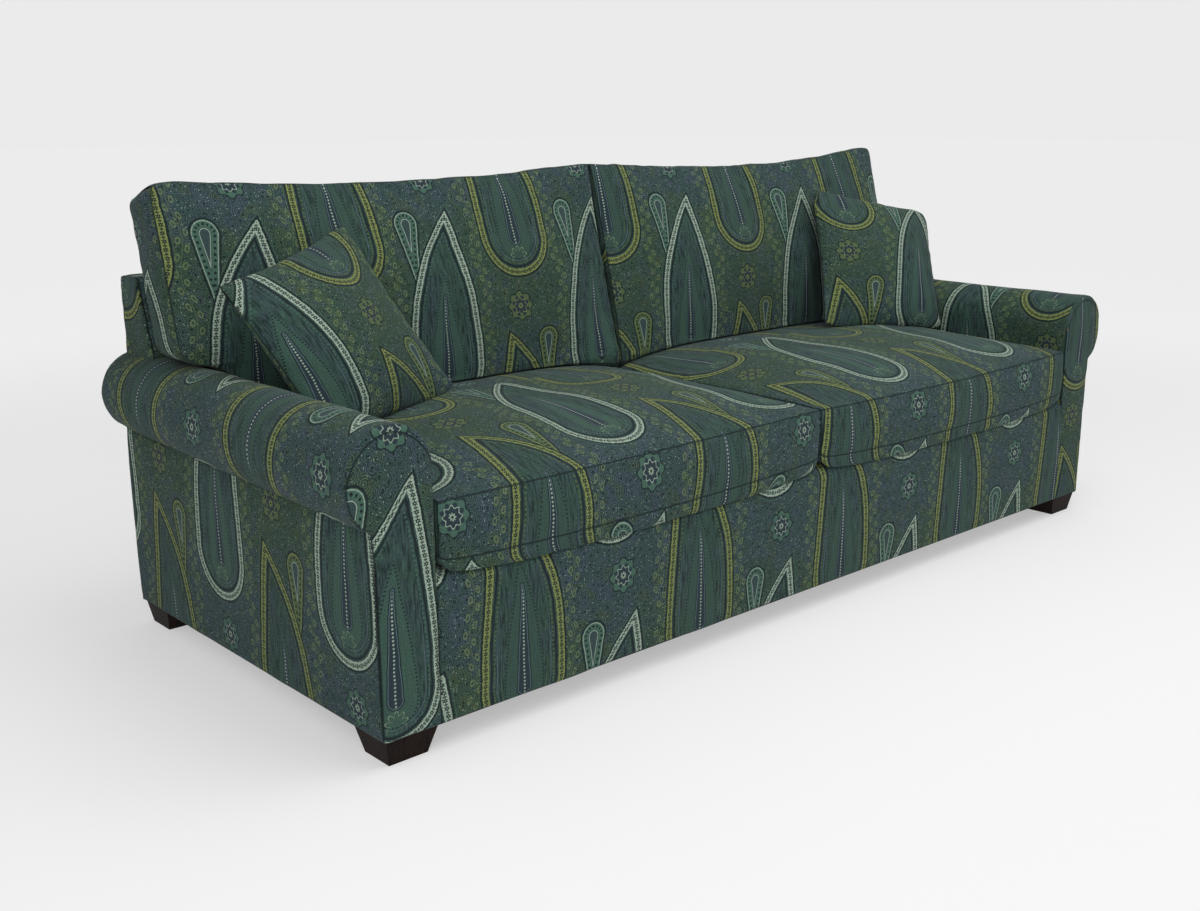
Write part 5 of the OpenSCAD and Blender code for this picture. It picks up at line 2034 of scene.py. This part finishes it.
class RowTree:
    """Node tree that repeats a small block along a straight row or along a closed rectangle."""

    def __init__(self, name: str, finish: bpy.types.Material, depth: float | None = None) -> None:
        """Builds the tree.

        Args:
            name: Name of the tree.
            finish: Material of the pieces.
            depth: Depth of the rectangle that the row follows, or None for a straight row.
        """
        tree = bpy.data.node_groups.new(name, "GeometryNodeTree")
        self.tree = tree
        for label, kind in (
            ("Geometry", "Geometry"),
            ("Length", "Float"),
            ("Pitch", "Float"),
            ("Block", "Vector"),
            ("Spread", "Float"),
            ("Seed", "Int"),
        ):
            tree.interface.new_socket(label, in_out="INPUT", socket_type=f"NodeSocket{kind}")
        tree.interface.new_socket("Geometry", in_out="OUTPUT", socket_type="NodeSocketGeometry")
        graph = Graph(tree)
        given = {socket.name: Wire(graph, socket) for socket in graph.node("NodeGroupInput").outputs}
        if depth is None:
            half = given["Length"] * 0.5
            ends = {"Start": graph.join(half * -1.0), "End": graph.join(half)}
            curve = graph.step("GeometryNodeCurvePrimitiveLine", "Curve", ends)
            stray = 0.0
        else:
            sides = {"Width": given["Length"], "Height": depth}
            curve = graph.step("GeometryNodeCurvePrimitiveQuadrilateral", "Curve", sides)
            stray = STAPLE_STRAY
        along = {"Curve": curve, "Length": given["Pitch"]}
        points = graph.step("GeometryNodeCurveToPoints", "Points", along, mode="LENGTH")
        index = Wire(graph, graph.node("GeometryNodeInputIndex").outputs[0])
        even = (graph.math("MODULO", index, 2.0) - 0.5) * 2.0
        chance = graph.node("FunctionNodeRandomValue", data_type="FLOAT")
        for label, value in (("Min", -stray), ("Max", stray), ("Seed", given["Seed"])):
            graph.feed(chance.inputs[label], value)
        scatter = Wire(graph, next(out for out in chance.outputs if out.type == "VALUE" and out.enabled))
        offset = graph.join(0.0, even * given["Spread"] + scatter)
        copies = {
            "Points": graph.step("GeometryNodeSetPosition", "Geometry", {"Geometry": points, "Offset": offset}),
            "Instance": graph.step("GeometryNodeMeshCube", "Mesh", {"Size": given["Block"]}),
        }
        if depth is not None:
            way = {"Vector": Wire(graph, points.socket.node.outputs["Tangent"])}
            copies["Rotation"] = graph.step("FunctionNodeAlignEulerToVector", "Rotation", way, axis="X")
        made = graph.step("GeometryNodeInstanceOnPoints", "Instances", copies)
        real = graph.step("GeometryNodeRealizeInstances", "Geometry", {"Geometry": made})
        dressed = graph.step("GeometryNodeSetMaterial", "Geometry", {"Geometry": real, "Material": finish})
        graph.feed(graph.node("NodeGroupOutput").inputs["Geometry"], dressed)

    def grow(self, name: str, row: Row, place: Place) -> bpy.types.Object:
        """Makes one row as a plain mesh.

        Args:
            name: Name of the piece.
            row: Inputs of the row.
            place: Moves points of the row to where they belong.

        Returns:
            The piece.
        """
        seedling = added(name, bpy.data.meshes.new(name))
        grown = seedling.modifiers.new("row", "NODES")
        grown.node_group = self.tree
        values = {"Length": row.length, "Pitch": row.pitch, "Block": row.size, "Spread": row.spread, "Seed": 7}
        for item in self.tree.interface.items_tree:
            if item.in_out == "INPUT" and item.name in values:
                grown[item.identifier] = values[item.name]
        view = seedling.evaluated_get(bpy.context.evaluated_depsgraph_get())
        mesh = bpy.data.meshes.new_from_object(view)
        seedling.modifiers.remove(grown)
        seedling.data = mesh
        mesh.name = name
        move_points(mesh, place(coordinates(mesh)))
        with edited(mesh) as work:
            bmesh.ops.recalc_face_normals(work, faces=work.faces)
        return seedling


@dataclass
class Zips(Assembly):
    """Zip tapes and teeth on the rear boxing of the seat cushions and in the foot of the back cushions."""

    length: float = 0.740
    tape_w: float = 0.020
    tape_t: float = 0.0008
    weave_t: float = 0.0006
    below_slider: float = 0.0012
    tooth_pitch: float = 0.00125
    tooth: tuple[float, float, float] = (0.0013, 0.0034, 0.0018)
    tooth_spread: float = 0.0011
    tooth_rise: float = 0.0009
    chain_short: float = 0.010

    def places(self, kind: str, side: Side) -> Place:
        """How a zip made flat on its back comes to lie on its cushion.

        Args:
            kind: Either seat or back.
            side: Side of the cushion.

        Returns:
            A function that moves points.
        """
        low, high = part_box("seat_cushion_foam_right")
        middle_x = (low.x + high.x) / 2 * side.value
        slider_low, slider_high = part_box(f"{kind}_zip_slider_{side.word}")
        middle = (slider_low + slider_high) / 2

        def on_rear(points: np.ndarray) -> np.ndarray:
            x, y, z = points.T
            return stack(middle_x + x, slider_low.y - self.below_slider + z, middle.z - y)

        def on_foot(points: np.ndarray) -> np.ndarray:
            x, y, z = points.T
            return stack(middle_x + x, middle.y - y, slider_high.z + self.below_slider - z)

        return on_rear if kind == "seat" else on_foot

    def tape(self, name: str, place: Place) -> bpy.types.Object:
        """Two woven tapes with a slit between them, as one thin mesh."""
        x = np.linspace(-self.length / 2, self.length / 2, 120)[:, None]
        y = np.array([-self.tape_w / 2, -0.004, -0.0008, 0.0008, 0.004, self.tape_w / 2])
        z = np.array([0.0, 0.0, 0.0003, 0.0003, 0.0, 0.0]) + self.tape_t
        points = stack(x, y, z)
        moved = place(points.reshape(-1, 3)).reshape(points.shape)
        piece = sew(name, [Panel(moved, points[..., :2].copy(), UNSEWN)], self.finishes.zip_tape)
        thicken(piece, self.weave_t)
        return piece

    def build(self) -> None:
        """Makes a tape and a row of teeth for each zip."""
        teeth = RowTree("zip_teeth", self.finishes.steel)
        row = Row(self.length - self.chain_short, self.tooth_pitch, self.tooth, self.tooth_spread)
        up = np.array([0.0, 0.0, self.tape_t + self.tooth_rise])
        for kind in ("seat", "back"):
            for side in Side:
                place = self.places(kind, side)
                body = f"{kind}_cushion_{side.word}"
                self.settle(self.tape(f"{kind}_zip_tape_{side.word}", place), body, "print_cloth")
                chain = teeth.grow(
                    f"{kind}_zip_teeth_{side.word}", row, lambda points, put=place: put(points + up)
                )
                self.settle(chain, body, "steel")


@dataclass
class Staples(Assembly):
    """Staples that hold the dust cover under the base."""

    inset: float = 0.014
    pitch: float = 0.048
    staple: tuple[float, float, float] = (0.0100, 0.0011, 0.0009)
    out: float = 0.0002

    def build(self) -> None:
        """Makes the row of staples round the dust cover."""
        low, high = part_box("dust_cover")
        width = high.x - low.x - 2 * self.inset
        depth = high.y - low.y - 2 * self.inset
        up = np.array([0.0, 0.0, low.z - self.out])
        tree = RowTree("dust_cover_staples", self.finishes.steel, depth)
        row = Row(width, self.pitch, self.staple)
        self.settle(tree.grow("dust_cover_staples", row, lambda points: points + up), "frame", "steel")


@dataclass
class BareNodes(Assembly):
    """Wood and steel that keep the construction's own shapes."""

    wood: tuple[str, ...] = (
        "front_rail", "rear_rail", "centre_rail", "corner_blocks", "back_centre_post", "back_top_rail",
        "back_low_rail",
    )
    sided_wood: tuple[str, ...] = ("side_rail", "arm_front", "arm_rear", "arm_top_rail", "back_post")
    steel: tuple[str, ...] = (
        "seat_springs", "seat_spring_clips", "back_springs", "back_spring_clips", "foot_bolts", "foot_nuts",
    )
    sided_steel: tuple[str, ...] = ("seat_zip_slider", "back_zip_slider")

    def build(self) -> None:
        """Gives each node its finish."""
        for names, sided, finish in (
            (self.wood, self.sided_wood, self.finishes.frame),
            (self.steel, self.sided_steel, self.finishes.steel),
        ):
            for name in (*names, *(f"{name}_{side.word}" for name in sided for side in Side)):
                mesh = bpy.data.objects[name].data
                mesh.materials.clear()
                mesh.materials.append(finish)
                log.info("%s: %s", name, finish.name)


# Camera, floor and lights


@dataclass(frozen=True)
class Studio:
    """Plain pale studio with the camera at the photograph's angle.

    Attributes:
        lens: Focal length in millimetres on a sensor 36 mm wide.
        camera_at: Place of the camera.
        yaw: Turn from +Y towards +X, in degrees.
        pitch: Turn below the horizon, in degrees.
        roll: Turn about the line of sight, in degrees.
        world: Strength of the light all round.
        world_seen: Strength of the same light where it is looked at.
        floor_half: Half the width of the floor.
        glow_near: Share of white in the floor beside the sofa.
        glow_more: How much that share grows towards the distance.
        glow_from: Distances at which it starts and stops growing.
        aim: Place that the lamps point at.
    """

    lens: float = 40.37
    camera_at: tuple[float, float, float] = (-2.180, -2.189, 1.050)
    yaw: float = 42.04
    pitch: float = 14.42
    roll: float = -0.33
    world: float = 0.47
    world_seen: float = 0.83
    floor_half: float = 40.0
    glow_near: float = 0.42
    glow_more: float = 0.28
    glow_from: tuple[float, float] = (1.5, 4.5)
    aim: tuple[float, float, float] = (0.0, 0.0, 0.4)

    def camera(self) -> None:
        """Puts up the camera."""
        data = bpy.data.cameras.new("camera")
        data.lens = self.lens
        data.sensor_width = 36
        eye = added("camera", data)
        yaw, pitch = math.radians(self.yaw), math.radians(self.pitch)
        level = math.cos(pitch)
        ahead = Vector((math.sin(yaw) * level, math.cos(yaw) * level, -math.sin(pitch)))
        turn = ahead.to_track_quat("-Z", "Y").to_matrix().to_4x4()
        tilt = Matrix.Rotation(math.radians(self.roll), 4, "Z")
        eye.matrix_world = Matrix.Translation(self.camera_at) @ turn @ tilt
        bpy.context.scene.camera = eye

    def floor(self) -> None:
        """Lays a pale floor that keeps the shadow of the sofa."""
        mesh = bpy.data.meshes.new("floor")
        far = self.floor_half
        mesh.from_pydata([(-far, -far, 0), (far, -far, 0), (far, far, 0), (-far, far, 0)], [], [(0, 1, 2, 3)])
        plane = added("floor", mesh)
        material, graph, shader = Surface(rough=0.85, specular=0.2).start("pale_floor")
        shader.inputs["Base Color"].default_value = (0.92, 0.92, 0.92, 1)
        light = graph.node("ShaderNodeEmission")
        light.inputs["Color"].default_value = (1, 1, 1, 1)
        light.inputs["Strength"].default_value = 1.0
        across, along, _ = graph.split(graph.place())
        glow = graph.ramp(graph.length(across, along), *self.glow_from)
        glow = glow * self.glow_more + self.glow_near
        blend = graph.node("ShaderNodeMixShader")
        for socket, wire in zip(
            blend.inputs, (graph.seen() * glow, Wire(graph, shader.outputs[0]), Wire(graph, light.outputs[0]))
        ):
            graph.feed(socket, wire)
        output = material.node_tree.nodes["Material Output"]
        graph.feed(output.inputs["Surface"], Wire(graph, blend.outputs[0]))
        mesh.materials.append(material)

    def sky(self) -> None:
        """Lights the room evenly, and shows white where nothing stands."""
        room = bpy.data.worlds.new("room")
        bpy.context.scene.world = room
        room.use_nodes = True
        graph = Graph(room.node_tree)
        back = room.node_tree.nodes["Background"]
        back.inputs["Color"].default_value = (1, 1, 1, 1)
        graph.feed(back.inputs["Strength"], graph.choose(graph.seen(), self.world, self.world_seen))

    def lamps(self) -> None:
        """Hangs three large soft lamps."""
        for name, place, size, power in (
            ("lamp_above", (0.3, -1.15, 3.2), 2.6, 50.0),
            ("lamp_front_left", (-3.0, -2.4, 2.0), 2.2, 33.0),
            ("lamp_right", (3.2, -2.4, 2.0), 2.2, 6.0),
        ):
            data = bpy.data.lights.new(name, "AREA")
            data.shape = "SQUARE"
            data.size = size
            data.energy = power
            lamp = added(name, data)
            lamp.location = place
            way = Vector(self.aim) - Vector(place)
            lamp.rotation_euler = way.to_track_quat("-Z", "Y").to_euler()

    def build(self) -> None:
        """Sets up the whole studio."""
        self.camera()
        self.floor()
        self.sky()
        self.lamps()
        bpy.context.scene.view_settings.view_transform = "Standard"


def main() -> None:
    """Builds the sofa round its construction."""
    logging.basicConfig(level=logging.INFO, format="%(name)s: %(message)s")
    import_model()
    sizes = SofaSizes.from_frame()
    finishes = Finishes()
    BareNodes(sizes, finishes).build()
    Fillings(sizes, finishes).build()
    FrontAndDeck(sizes, finishes).build()
    Back(sizes, finishes).build()
    Feet(sizes, finishes).build()
    for side in Side:
        Arm(sizes, finishes, side=side).build()
        seat = SeatCushion(sizes, finishes, side=side)
        seat.build()
        back = BackCushion(sizes, finishes, side=side, seat=seat)
        back.build()
        form = side.pick({}, {"height": 0.392, "squash": 0.056, "corner_r": 0.004})
        ThrowPillow(sizes, finishes, side=side, seat=seat, back=back, **form).build()
    Zips(sizes, finishes).build()
    Staples(sizes, finishes).build()
    Studio().build()
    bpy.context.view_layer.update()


if __name__ == "__main__":
    main()
